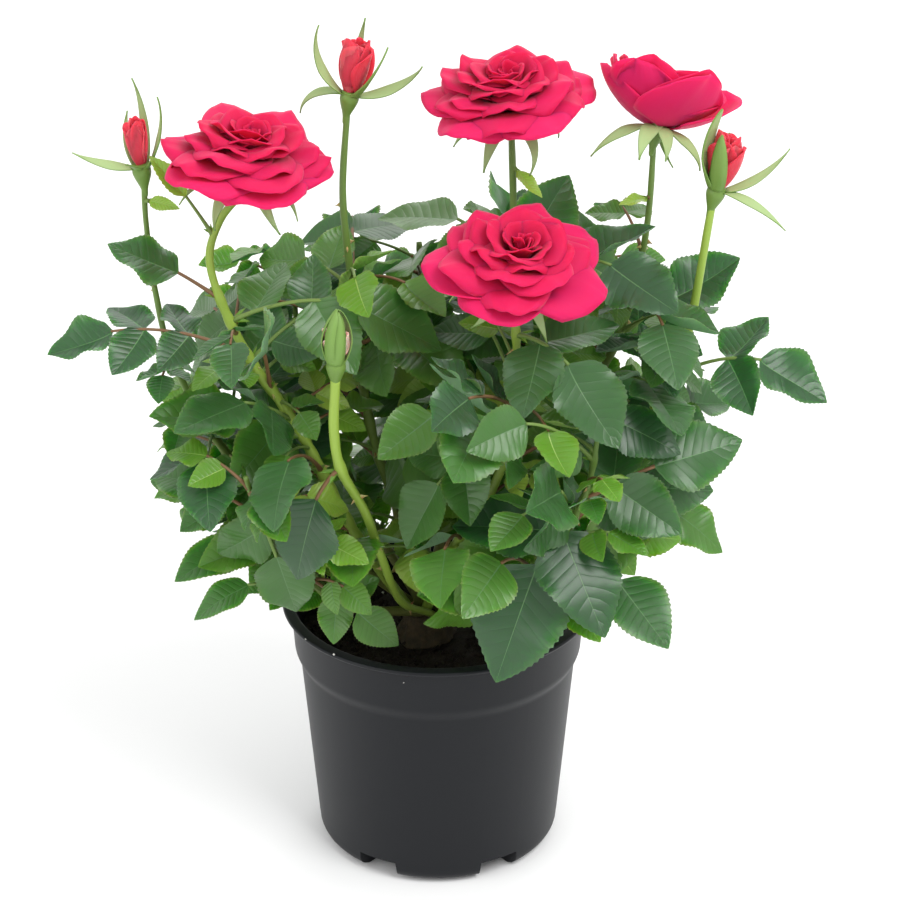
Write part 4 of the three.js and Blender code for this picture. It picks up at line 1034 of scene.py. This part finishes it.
# Each cane's radius at its foot and at its neck, in millimetres, and whether its bark is bright
CANE_LOOKS = dict(
    left_bud=(2, 0.95, False), left_bloom=(2.1, 1.35, True), front_bud=(1.4, 1.8, True),
    tall_bud=(2.1, 1.2, False), back_bloom=(2.1, 1.25, False), front_bloom=(2.1, 1.25, True),
    right_bloom=(2.1, 1.05, False), right_bud=(2.1, 1.4, True), back_left=(2, 0.9, False),
    back_middle=(2, 0.9, False), back_right=(2, 0.9, False), front_right=(2, 0.9, False),
    front_left=(2, 0.9, False),
)
CANE_SINKS = 2.2  # into the woody foot


def sides_of(along):
    """Two ways across each direction: one that faces the front as far as it can, and one square to it."""
    ahead = flat(np.broadcast_to(np.array([0.25, -1.0, 0.1]), along.shape), along)
    return ahead, np.cross(along, ahead)


def add_cane(piece, cane, rows=90, sides=14):
    """One tube from the fork to the flower. Its radius tapers from foot to neck by share^0.8, swells
    where a leaf leaves it, wanders a little, and has three low ribs that turn along it. Gives the taper."""
    curve = cane["curve"]
    thick, neck, bright = CANE_LOOKS[cane["name"]]
    ring = TURN * np.arange(sides) / sides
    share = np.linspace(0, 1, rows)
    place = curve.at_share(share)
    along = unit(np.gradient(place, axis=0))
    place[0] -= along[0] * CANE_SINKS
    ahead, aside = sides_of(along)
    roots = np.array([leaf["leaf"].root for leaf in cane["leaves"] if not leaf["fine"]]).reshape(-1, 3)
    away = np.linalg.norm(place[:, None] - roots, axis=-1)
    swell = 0.5 * np.exp(-((away / 3.2) ** 2)).max(axis=1, initial=0)
    taper = thick + (neck - thick) * share**0.8
    radius = taper + swell + 0.06 * ripple(place, 17, cane["seed"])
    ribbed = radius[:, None] * (1 + 0.05 * np.sin(3 * ring + 0.08 * curve.length * share[:, None]))
    around = ahead[:, None] * np.cos(ring)[:, None] + aside[:, None] * np.sin(ring)[:, None]
    tone = np.repeat(np.where(share[:-1] < 0.2, 0, np.where(share[:-1] < 0.6, 1, 2)), sides)
    tone = np.maximum(tone, 3 * bright)
    surface = np.stack(np.broadcast_arrays(ring / TURN, share[:, None] * curve.length / 100), -1)
    tube = place[:, None] + around * ribbed[..., None]
    piece.add(tube, tube_faces(rows, sides), [tone, tone[0], tone[-1]], surface)
    return taper


def dress_canes():
    """The canes and their hooked prickles. Living bark is green under a thin wax, with faint ribs along
    it: duller and browner low down, fresher near the top, and bright on some canes. Prickles are of dry
    horn, straw-coloured with browner patches."""
    canes = Piece(
        "canes",
        finish_of("old_bark", "#6E7438", relief=(streaks(14, 60), 0.25), Roughness=0.6, IOR=1.42),
        finish_of("green_bark", "#667C34", relief=(streaks(12, 50), 0.12), Roughness=0.45, IOR=1.43),
        finish_of("fresh_bark", "#64803A", relief=(streaks(12, 50), 0.08), Roughness=0.42, IOR=1.43),
        finish_of("bright_bark", "#8CA842", relief=(streaks(12, 50), 0.08), Roughness=0.42, IOR=1.43),
    )
    horn = finish_of("horny_prickle", "#A9B06A", "#A87A4E", 3.0, Roughness=0.35, IOR=1.45)
    prickles = Piece("prickles", horn)
    for cane in CANES:
        taper = add_cane(canes, cane)
        add_prickles(prickles, cane, taper)
    canes.make("cane", *["cane_" + cane["name"] for cane in CANES])
    prickles.make("cane")


# How far apart prickles are on average, and how long the longest is about
PRICKLE_STEP = 13.0
PRICKLE_LENGTH = 2.6


def add_prickles(piece, cane, taper):
    """Hooked prickles, set by the golden turn. Each is a stack of five ovals that rises from the bark,
    thins to a point and bends towards the cane's foot by the square of its rise."""
    random = np.random.default_rng(cane["seed"])
    count = int(cane["curve"].length * 0.8 / PRICKLE_STEP)
    share = np.sort(random.uniform(0.05, 0.86, count))
    place = cane["curve"].at_share(share)
    along = unit(cane["curve"].at_share(np.minimum(share + 0.01, 1)) - place)
    bearing = np.arange(count) * GOLDEN_TURN + cane["seed"]
    ahead, aside = sides_of(along)
    out = ahead * np.cos(bearing)[:, None] + aside * np.sin(bearing)[:, None]
    across = np.cross(along, out)
    size = random.uniform(0.6, 1.1, count)[:, None, None, None]
    rise = np.array([-0.3, 0.12, 0.4, 0.72, 1.0])[None, :, None, None] * PRICKLE_LENGTH * size
    thick = np.array([1.0, 0.8, 0.42, 0.2, 0.03])[None, :, None, None]
    ring = (TURN * np.arange(6) / 6)[None, None, :, None]
    surface = np.interp(share, np.linspace(0, 1, len(taper)), taper)[:, None, None, None]
    points = (
        place[:, None, None] + out[:, None, None] * (surface + rise)
        + along[:, None, None] * (np.cos(ring) * thick * 1.5 * size - 0.09 * rise**2 / size)
        + across[:, None, None] * np.sin(ring) * thick * 0.6 * size
    )
    piece.add(points, tube_faces(5, 6, count))


def dress_foot():
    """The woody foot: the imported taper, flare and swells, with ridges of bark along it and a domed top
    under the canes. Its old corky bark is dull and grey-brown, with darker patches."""
    side, dome, columns = 20, 6, 60
    rows = side + dome
    inward = np.linspace(0.92, 0.02, dome)
    share = np.concatenate([np.linspace(0, 1, side), np.ones(dome)])[:, None]
    shrink = np.concatenate([np.ones(side), inward])[:, None]
    lift = np.concatenate([np.zeros(side), 1.2 * (1 - inward**2)])[:, None]
    bearing = TURN * np.arange(columns) / columns
    centre = TRUNK_FOOT + (TRUNK_TOP - TRUNK_FOOT) * share[..., None]
    radius = TRUNK_RADIUS + (TRUNK_FLARE - TRUNK_RADIUS) * (1 - share) ** 3
    swell = 1 + 0.06 * np.sin(3 * bearing + 1) + 0.04 * np.sin(5 * bearing)
    out = radius * swell * shrink - 0.3
    around = np.broadcast_arrays(out * np.cos(bearing), out * np.sin(bearing), lift + 0 * bearing)
    points = centre + np.stack(around, -1)
    ridges = 0.55 * ripple(points * (1, 1, 0.22), 4.5, 3) + 0.3 * ripple(points * (1, 1, 0.5), 1.8, 4)
    away = unit((points - centre) * (1, 1, 0) + 1e-9)
    points = points + away * (ridges * np.minimum(1, shrink * 1.2))[..., None]
    bark = finish_of("brown_bark", "#4B3E29", "#383122", 3.0, (grain(0.8), 0.5), Roughness=0.85, IOR=1.45)
    foot = Piece("woody_foot", bark)
    foot.add(points, tube_faces(rows, columns))
    foot.make("wood", "trunk")


# Flowers

# Rings of petals from the outside in, in flower radii: how many, length, half width, angle from the axis
# at the foot and at the tip, how far the margins roll back, and how high the ring stands
OPEN_RINGS = [
    (5, 1.00, 0.62, 54, 106, 0.09, 0.00),
    (6, 0.92, 0.52, 44, 98, 0.12, 0.03),
    (6, 0.82, 0.46, 33, 84, 0.12, 0.07),
    (6, 0.73, 0.42, 22, 66, 0.12, 0.10),
    (5, 0.65, 0.38, 12, 46, 0.10, 0.12),
    (5, 0.57, 0.32, 4, 28, 0.07, 0.13),
    (4, 0.50, 0.26, -3, 12, 0.03, 0.14),
    (3, 0.44, 0.20, -7, 2, 0.02, 0.15),
]
CUP_RINGS = [
    (5, 1.12, 0.70, 80, 20, 0.03, 0.00),
    (5, 1.06, 0.60, 70, 16, 0.02, 0.02),
    (5, 0.94, 0.52, 60, 14, 0.02, 0.03),
    (5, 0.82, 0.44, 50, 10, 0.02, 0.04),
    (5, 0.70, 0.36, 38, 6, 0.02, 0.05),
    (4, 0.58, 0.30, 24, 2, 0.02, 0.06),
    (3, 0.48, 0.24, 10, -4, 0.02, 0.07),
]
BUD_RINGS = [
    (3, 1.04, 0.40, 36, -15, 0.03, 0.0),
    (3, 1.03, 0.34, 31, -15, 0.02, 0.02),
    (3, 1.0, 0.28, 26, -13, 0.0, 0.03),
]

# How many of the outer rings have petals creased along the middle, how far from the axis petals start in
# flower radii, how thick petals and sepals are, and a sepal's rows and columns of points
KEELED_RINGS = 5
PETAL_FOOT = 0.06
PETAL_THICKNESS = 0.35
SEPAL_THICKNESS = 0.4
SEPAL_GRID = (16, 5)


def swung(u, v, bearing, foot, length, half, low, high, off):
    """Points of a blade that grows from a flower's axis. Its angle from the axis turns evenly along it
    from low to high, so that its distance from the axis and its height are the closed integrals of sine
    and cosine of that angle. It runs round the axis by u times its half width, and off stands it off
    along its outer side."""
    turn = high - low
    angle = low + turn * v
    radius = foot[0] + length * (np.cos(low) - np.cos(angle)) / turn
    height = foot[1] + length * (np.sin(angle) - np.sin(low)) / turn
    around = bearing + np.clip(u * half / np.maximum(radius, 0.6 * half.max()), -2.4, 2.4)
    radius, height = radius + np.cos(angle) * off, height - np.sin(angle) * off
    return np.stack([radius * np.cos(around), radius * np.sin(around), height], -1)


def grid(rows, columns):
    """Places on a blade: across it from -1 to 1 and along it from 0 to 1."""
    return np.linspace(-1, 1, columns)[None, :], np.linspace(0, 1, rows)[:, None]


def petals(rings, seed, rows=15, columns=17):
    """The petals of a flower of radius 1 about +Z, and each one's ring. A petal widens to its middle and
    narrows to a soft point, its sides roll back near the tip, one edge laps over its neighbour, and its
    margin is waved."""
    random = np.random.default_rng(seed)
    u, v = grid(rows, columns)
    made, owners = [], []
    for ring, (count, length, half, low, high, roll, rise) in enumerate(rings):
        first = random.uniform(0, TURN)
        for number in range(count):
            bearing = first + TURN * (number + random.uniform(-0.15, 0.15)) / count
            size = length * random.uniform(0.9, 1.06)
            wide = half * random.uniform(0.88, 1.12)
            angles = np.radians(np.array([low, high]) + random.normal(0, 4, 2))
            point = random.uniform(0.06, 0.18)
            reach = v * (1 - point * np.abs(u) ** 1.4 - 0.06 * u**4)
            width = wide * (0.26 + 0.74 * np.sin(0.5 * math.pi * np.minimum(1, v / 0.62)))
            width = width * (1 - 0.3 * np.maximum(0, (v - 0.62) / 0.38) ** 2)
            back = roll * random.uniform(0.5, 1.4) * (0.3 * v**6 + v**3 * np.abs(u) ** 2.2)
            wave = 0.03 * np.sin(random.uniform(3, 5) * u + random.uniform(0, TURN))
            ruffle = 0.012 * np.sin(random.uniform(7, 11) * u + random.uniform(0, TURN))
            keel = -0.04 * np.exp(-((u / 0.15) ** 2))
            folds = wave + v * ruffle + keel * (ring < KEELED_RINGS)
            off = back + length * v**2 * folds - 0.035 * u * (0.4 + v)
            made.append(swung(u, reach, bearing, (PETAL_FOOT, rise), size, width, *angles, off))
            owners.append(ring)
    return np.array(made), np.array(owners)


def sepals(rows, columns, spread, seed):
    """Sepals round the top of a hip: narrow blades, broadest low down, drawn out to a thread that turns
    aside. Those that spread wide twist as they go, by up to 50 degrees, and show their pale inner side to
    the front."""
    random = np.random.default_rng(seed)
    u, v = grid(rows, columns)
    made = []
    for bearing, low, high, length, half in spread:
        closed = low < 40 and half > 3
        width = half * np.maximum(0.05, (1 - v) ** (0.7 if closed else 1.3) * (0.8 + 1.6 * v))
        twist = -0.9 * math.cos(math.radians(bearing)) * min(1, max(low, high) / 60) * np.minimum(1, 2.5 * v)
        off = 0.25 - 0.12 * half * u**2 + 0.3 * np.sin(3 * v + random.uniform(0, TURN)) * v
        off = off + u * width * np.sin(twist)
        width = width * np.cos(twist)
        aside = math.radians(bearing) + random.uniform(-0.35, 0.35) * v**3
        foot = (0.8 * HIP_RADIUS, HIP_HEIGHT - 0.8)
        made.append(swung(u, v, aside, foot, length, width, math.radians(low), math.radians(high), off))
    return np.array(made)


def thickened(patches, thickness):
    """Each open patch made a closed blade: a skin half a thickness to either side of it, joined round the
    edge. Gives the points, the faces, and which side each face is on: 0 for outside and the edge, 1 for
    inside."""
    count, rows, columns, _ = patches.shape
    normal = np.cross(np.gradient(patches, axis=1), np.gradient(patches, axis=2))
    normal = normal / (np.linalg.norm(normal, axis=-1, keepdims=True) + 1e-12)
    skins = np.stack([patches + normal * thickness / 2, patches - normal * thickness / 2], 1)
    number = np.arange(rows * columns).reshape(rows, columns)
    first = grid_faces(rows, columns)[:, ::-1]
    edge = np.concatenate([number[0, :-1], number[:-1, -1], number[-1, :0:-1], number[:0:-1, 0]])
    after, skin = np.roll(edge, -1), rows * columns
    second = np.roll(first[:, ::-1], 1, axis=1) + skin
    one = np.concatenate([first, second, np.stack([edge, after, after + skin, edge + skin], -1)])
    inside = np.zeros(len(one), int)
    inside[: len(first)] = 1
    starts = np.arange(count)[:, None, None] * 2 * skin
    return skins.reshape(-1, 3), (one[None] + starts).reshape(-1, 4), np.tile(inside, count)


def surface_places(rows, columns, count):
    """Where the points of thickened blades lie on them: across and along, from 0 to 1."""
    u, v = grid(rows, columns)
    one = np.stack(np.broadcast_arrays(u * 0.5 + 0.5, v), -1)
    return np.broadcast_to(one, (count, 2, rows, columns, 2))


def dress_flowers():
    """Blooms and buds, a piece each, on hips that carry five sepals. Petals deepen in colour from the rim to
    the centre, partly their own deeper red and partly painted shade in the cup. A hip has a smooth waxed
    skin, and a sepal is half matt outside, pale and downy inside."""
    finishes = petal_finishes()
    skin = finish_of("hip_skin", "#66853A", relief=(streaks(10, 10), 0.06), Roughness=0.45, IOR=1.43)
    hips = Piece("hips", skin)
    ribs = (streaks(8, 4), 0.1)
    calyx = Piece(
        "sepals", finish_of("sepal_outside", "#6F9144", relief=ribs, Roughness=0.5, IOR=1.42),
        finish_of("sepal_inside", "#9CB47A", relief=ribs, Roughness=0.65, IOR=1.4),
    )
    for index, flower in enumerate(BLOOMS + BUDS):
        name = flower["name"]
        cane = next(cane for cane in CANES if cane["flower"] == name)
        at, turn = cane["curve"].at_share(1)[0], about(flower["leans"])
        if flower in BUDS:
            patches, ring = petals(BUD_RINGS, cane["seed"], 12, 13)
            squeeze = flower["girth"] / 0.3
            patches = patches * (squeeze, squeeze, flower["length"])
            tone = np.where(ring == 1, BUD_TIP, BUD)
            if name == "bud_front":
                tone = np.full(len(ring), CLOSED)
        else:
            patches, ring = petals(CUP_RINGS if name == "bloom_right" else OPEN_RINGS, flower["seed"])
            patches = patches * flower["radius"] * (flower["spread"], flower["spread"], 1)
            # The inner rings take darker colours: partly the petals' own deeper red, partly painted shade in
            # the cup
            tone = RING_TONES_WITH_PAINTED_SHADE[ring]
        points, faces, _ = thickened(patches, PETAL_THICKNESS)
        piece = Piece(name, *finishes)
        place = surface_places(*patches.shape[1:3], len(patches))
        each = len(faces) // len(patches)
        piece.add((points + UP * (HIP_HEIGHT - 1)) @ turn.T + at, [faces], [np.repeat(tone, each)], place)
        piece.make("petal")
        add_hip(hips, at, turn)
        patches = sepals(*SEPAL_GRID, SEPALS.get(name, BLOOM_SEPALS), index)
        points, faces, inside = thickened(patches, SEPAL_THICKNESS)
        calyx.add(points @ turn.T + at, [faces], [inside], surface_places(*SEPAL_GRID, len(patches)))
    hips.make("cane")
    calyx.make("foliage")


def add_hip(piece, at, turn, sides=20):
    """The swollen end of the stalk: a profile from the stalk's radius out to the hip and in again,
    carried round its axis."""
    corners = [
        (0.2, -5), (0.9, -4.6), (1.25, -1.5), (0.8 * HIP_RADIUS, 2.4), (HIP_RADIUS, 4.8),
        (0.86 * HIP_RADIUS, HIP_HEIGHT - 0.4), (0.95 * HIP_RADIUS, HIP_HEIGHT + 0.4),
        (0.2, HIP_HEIGHT + 0.8),
    ]
    profile = filleted(corners, 1.6)
    ring = TURN * np.arange(sides) / sides
    points = carried(profile, ring)
    place = np.stack(np.broadcast_arrays(ring / TURN, profile[:, 1:] / 10), -1)
    piece.add(points @ turn.T + at, tube_faces(len(profile), sides), place=place)


# Pot and compost


def pot_profile(wall_radius):
    """The pot's profile, rounded at its corners: from the recess under it up the outside, over the rim
    and down the inside. wall_radius is the wall's, at the height of the notches."""
    wall = POT["wall"]
    height, rim = POT["height"], POT["rim_radius"]
    corners = [
        (0, POT["recess_height"]),
        (POT["recess_radius"], POT["recess_height"]),
        (POT["recess_radius"] + 1, 0),
        (POT["foot_radius"], 0),
        (POT["foot_radius"] + 3.4, 1.6),
        (POT["body_foot_radius"], POT["corner_height"]),
        (wall_radius, POT["notch_height"]),
        (POT["body_top_radius"], POT["step_height"]),
        (POT["collar_foot_radius"], POT["collar_foot_height"]),
        (POT["collar_radius"], height - POT["rim_thickness"] - 1.2),
        (rim - 0.5, height - POT["rim_thickness"]),
        (rim, height - POT["rim_thickness"] / 2),
        (rim - 0.5, height),
        (POT["collar_radius"] - wall, height),
        (POT["collar_foot_radius"] - wall, POT["collar_foot_height"] + 0.4),
        (POT["body_top_radius"] - wall, POT["step_height"] + 0.4),
        (POT["body_foot_radius"] - wall, POT["floor_height"] + 3),
        (0, POT["floor_height"]),
    ]
    radii = [0.5, 0.5, 0.6, 2, 3, 0.4, 1.2, 1.6, 0.8, 0.5, 0.35, 0.5, 0.9, 1.5, 1.2, 2]
    profile = filleted(corners, radii, 5)
    profile[0, 0] = profile[-1, 0] = 0.05
    return profile


def dress_pot(sides=144):
    """The moulded pot: its profile carried round the axis, with the foot lifted where the notches between
    its feet are. Two close bearings make each side of a notch steep. The pot is injection-moulded
    polypropylene, nearly black, with a fine grain from the mould and broad soft highlights."""
    wall_share = (POT["notch_height"] - POT["corner_height"]) / (POT["step_height"] - POT["corner_height"])
    wall_radius = POT["body_foot_radius"] + (POT["body_top_radius"] - POT["body_foot_radius"]) * wall_share
    profile = pot_profile(wall_radius)
    even = TURN * np.arange(sides) / sides
    half = POT["notch_angle"] / 2
    notches = TURN * np.arange(POT["feet"]) / POT["feet"]
    edges = (notches[:, None] + np.array([-1, 1]) * half)[..., None] + np.array([-0.004, 0.004])
    bearings = np.sort(np.mod(np.concatenate([even, edges.ravel()]), TURN))
    points = carried(profile, bearings)
    off = np.abs((bearings[:, None] - notches + math.pi) % TURN - math.pi).min(axis=1)
    out = np.hypot(points[..., 0], points[..., 1])
    low = (points[..., 2] < POT["notch_height"]) & (out > POT["recess_radius"] - 0.5)
    cut = low & (off < half)
    wanted = np.where(out > POT["foot_radius"] - 1, wall_radius, out)
    points[cut] = (points * (wanted / np.maximum(out, 1e-6))[..., None] ** np.array([1, 1, 0]))[cut]
    points[cut, 2] = POT["notch_height"]
    sharp = low & (np.abs(off - half) < 0.01)
    plastic = finish_of(
        "moulded_polypropylene", "#121418", relief=(grain(0.5), 0.03), Roughness=0.44, IOR=1.49,
        Specular_IOR_Level=0.25,
    )
    pot = Piece("pot_shell", plastic)
    count = len(bearings)
    pot.add(points, [each[:, ::-1] for each in tube_faces(len(profile), count)], rim=sharp.ravel())
    pot.make("pot", "pot")


# How many loose crumbs lie on the compost, and how far from the middle
CRUMBS = 700
CRUMBS_REACH = 52

# White grains: place and size in millimetres. Six lie on the compost as perlite, and three are white specks
# on the rim and collar
WHITE_GRAINS = [
    (-38.4, -46.0, 102.1, 0.55), (-49.5, -34.2, 101.9, 0.4), (-12.6, -57.1, 96.5, 0.3),
    (-30, -34, 86.6, 0.7), (-14, -44, 86.4, 0.6), (-40, -20, 86.2, 0.6), (24, -30, 86.6, 0.7),
    (34, 12, 86.4, 0.6), (-22, 30, 86.6, 0.7),
]


def dress_compost(sides=150):
    """The compost: a body that fills the pot, its top a crumbly height field, with loose crumbs of peat
    on it. Damp peat is dull and nearly black, and expanded perlite is chalky white."""
    wall = POT["wall"] + GAP
    reach = POT["collar_foot_radius"] - wall
    rows = np.concatenate([np.linspace(0.4, 18, 8), np.linspace(20, reach + 0.2, 26)])
    top = np.stack([rows[::-1], np.full(len(rows), SOIL_TOP - 0.4)], -1)
    side = np.array([
        (0.4, POT["floor_height"] + GAP),
        (POT["body_foot_radius"] - wall - 3.2, POT["floor_height"] + GAP),
        (POT["body_foot_radius"] - wall - 0.2, POT["floor_height"] + 3.4),
        (POT["body_top_radius"] - wall, POT["step_height"]),
        (reach - 0.2, POT["collar_foot_height"] + 0.6),
    ])
    profile = np.concatenate([side, top])
    points = carried(profile, TURN * np.arange(sides) / sides)
    upper = points[..., 2] > SOIL_TOP - 1
    rough = 0.9 * ripple(points, 14, 1) + 0.6 * ripple(points, 4.5, 2) + 0.35 * ripple(points, 1.9, 3)
    out = np.hypot(points[..., 0], points[..., 1])
    fade = np.clip((reach + 0.4 - out) / 3, 0.1, 1) * np.clip((out - 8) / 10, 0.2, 1)
    points[..., 2] += np.where(upper, rough * fade - 1.4 * (1 - fade), 0)
    peat = finish_of("damp_peat", "#1E1712", "#2B2119", 2.5, (grain(0.9), 0.9), Roughness=0.95, IOR=1.4)
    compost = Piece("compost", peat, finish_of("white_specks", "#D9D8D2", Roughness=0.8, IOR=1.5))
    compost.add(points, tube_faces(len(profile), sides))
    add_crumbs(compost)
    compost.make("soil", "soil")


def add_crumbs(piece):
    """Loose crumbs of peat, and white grains of perlite with three white specks on the rim: eight-sided
    lumps with their corners shifted and stretched at random."""
    random = np.random.default_rng(8)
    away = np.sqrt(random.uniform(0.05, 1, CRUMBS)) * CRUMBS_REACH
    bearing = random.uniform(0, TURN, CRUMBS)
    level = np.full(CRUMBS, SOIL_TOP + 0.1)
    centre = np.stack([away * np.cos(bearing), away * np.sin(bearing), level], -1)
    ends = np.array([(1, 0, 0), (-1, 0, 0), (0, 1, 0), (0, -1, 0), (0, 0, 1), (0, 0, -1)], float)
    shape = unit(ends + random.normal(0, 0.35, (CRUMBS, 6, 3))) * random.uniform(0.5, 1.7, (CRUMBS, 1, 1))
    eight = np.array([
        (0, 2, 4), (2, 1, 4), (1, 3, 4), (3, 0, 4), (2, 0, 5), (1, 2, 5), (3, 1, 5), (0, 3, 5),
    ])
    crumbs = (eight[None] + np.arange(CRUMBS)[:, None, None] * 6).reshape(-1, 3)
    piece.add(centre[:, None] + shape * random.uniform(0.6, 1.4, (CRUMBS, 1, 3)), [crumbs])
    # White grains: perlite on the compost, and three white specks on the pot's rim and collar
    grains = np.array(WHITE_GRAINS)
    shape = unit(ends + random.normal(0, 0.2, (len(grains), 6, 3))) * grains[:, None, 3:]
    piece.add(grains[:, None, :3] + shape, [crumbs[: 8 * len(grains)]], 1)


# Studio

# Each soft light's name, place in metres, width and power, and how far the floor reaches
LAMPS = [
    ("key", (0.9, -0.9, 1.7), 1.0, 26),
    ("fill", (-1.3, -0.8, 0.9), 1.2, 7),
    ("back", (0.2, 1.5, 1.4), 1.2, 9),
]
FLOOR_REACH = 6.0


def make_studio():
    """A floor of pale matt card, an even white surround, one large soft light high on the right, and two
    weaker ones from the left and from behind."""
    floor = bpy.data.meshes.new("floor")
    far = FLOOR_REACH
    floor.from_pydata([(-far, -far, 0), (far, -far, 0), (far, far, 0), (-far, far, 0)], [], [(0, 1, 2, 3)])
    ground = bpy.data.objects.new("floor", floor)
    bpy.context.scene.collection.objects.link(ground)
    floor.materials.append(finish_of("matt_card", "#F4F4F4", Roughness=0.9, IOR=1.4))
    world = bpy.data.worlds.new("white_surround")
    world.use_nodes = True
    backdrop = world.node_tree.nodes["Background"]
    backdrop.inputs["Color"].default_value = (1, 1, 1, 1)
    backdrop.inputs["Strength"].default_value = 0.95
    bpy.context.scene.world = world
    for name, place, size, power in LAMPS:
        lamp = bpy.data.lights.new(name, "AREA")
        lamp.energy, lamp.size = power, size
        holder = bpy.data.objects.new(name, lamp)
        holder.matrix_world = looking(place, (0, 0, 0.18))
        bpy.context.scene.collection.objects.link(holder)
    scene = bpy.context.scene
    scene.view_settings.view_transform = "Standard"
    scene.view_settings.look = "None"


def looking(place, target):
    """The turn and place of something at a point whose -Z faces another."""
    place, target = np.array(place, float), np.array(target, float)
    back = unit(place - target)
    right = unit(np.cross(UP, back))
    over = np.cross(back, right)
    return Matrix([(*row, p) for row, p in zip(np.stack([right, over, back], 1), place)] + [(0, 0, 0, 1)])


# The photograph's camera: where it stands, in metres, how it is turned, and its lens in millimetres
CAMERA_PLACE = (0, -0.82026, 0.55036)
CAMERA_DOWN = math.radians(25.227)
CAMERA_RIGHT = math.radians(0.3328)
CAMERA_LENS = 96.4


def make_camera():
    """The view of the photograph."""
    data = bpy.data.cameras.new("camera")
    data.lens, data.sensor_width = CAMERA_LENS, 36
    camera = bpy.data.objects.new("camera", data)
    camera.location = CAMERA_PLACE
    camera.rotation_euler = (math.pi / 2 - CAMERA_DOWN, 0, -CAMERA_RIGHT)
    bpy.context.scene.collection.objects.link(camera)
    bpy.context.scene.camera = camera


Bush().grow()
make_camera()
make_studio()
dress_pot()
dress_compost()
dress_foot()
dress_canes()
dress_leaves()
dress_flowers()
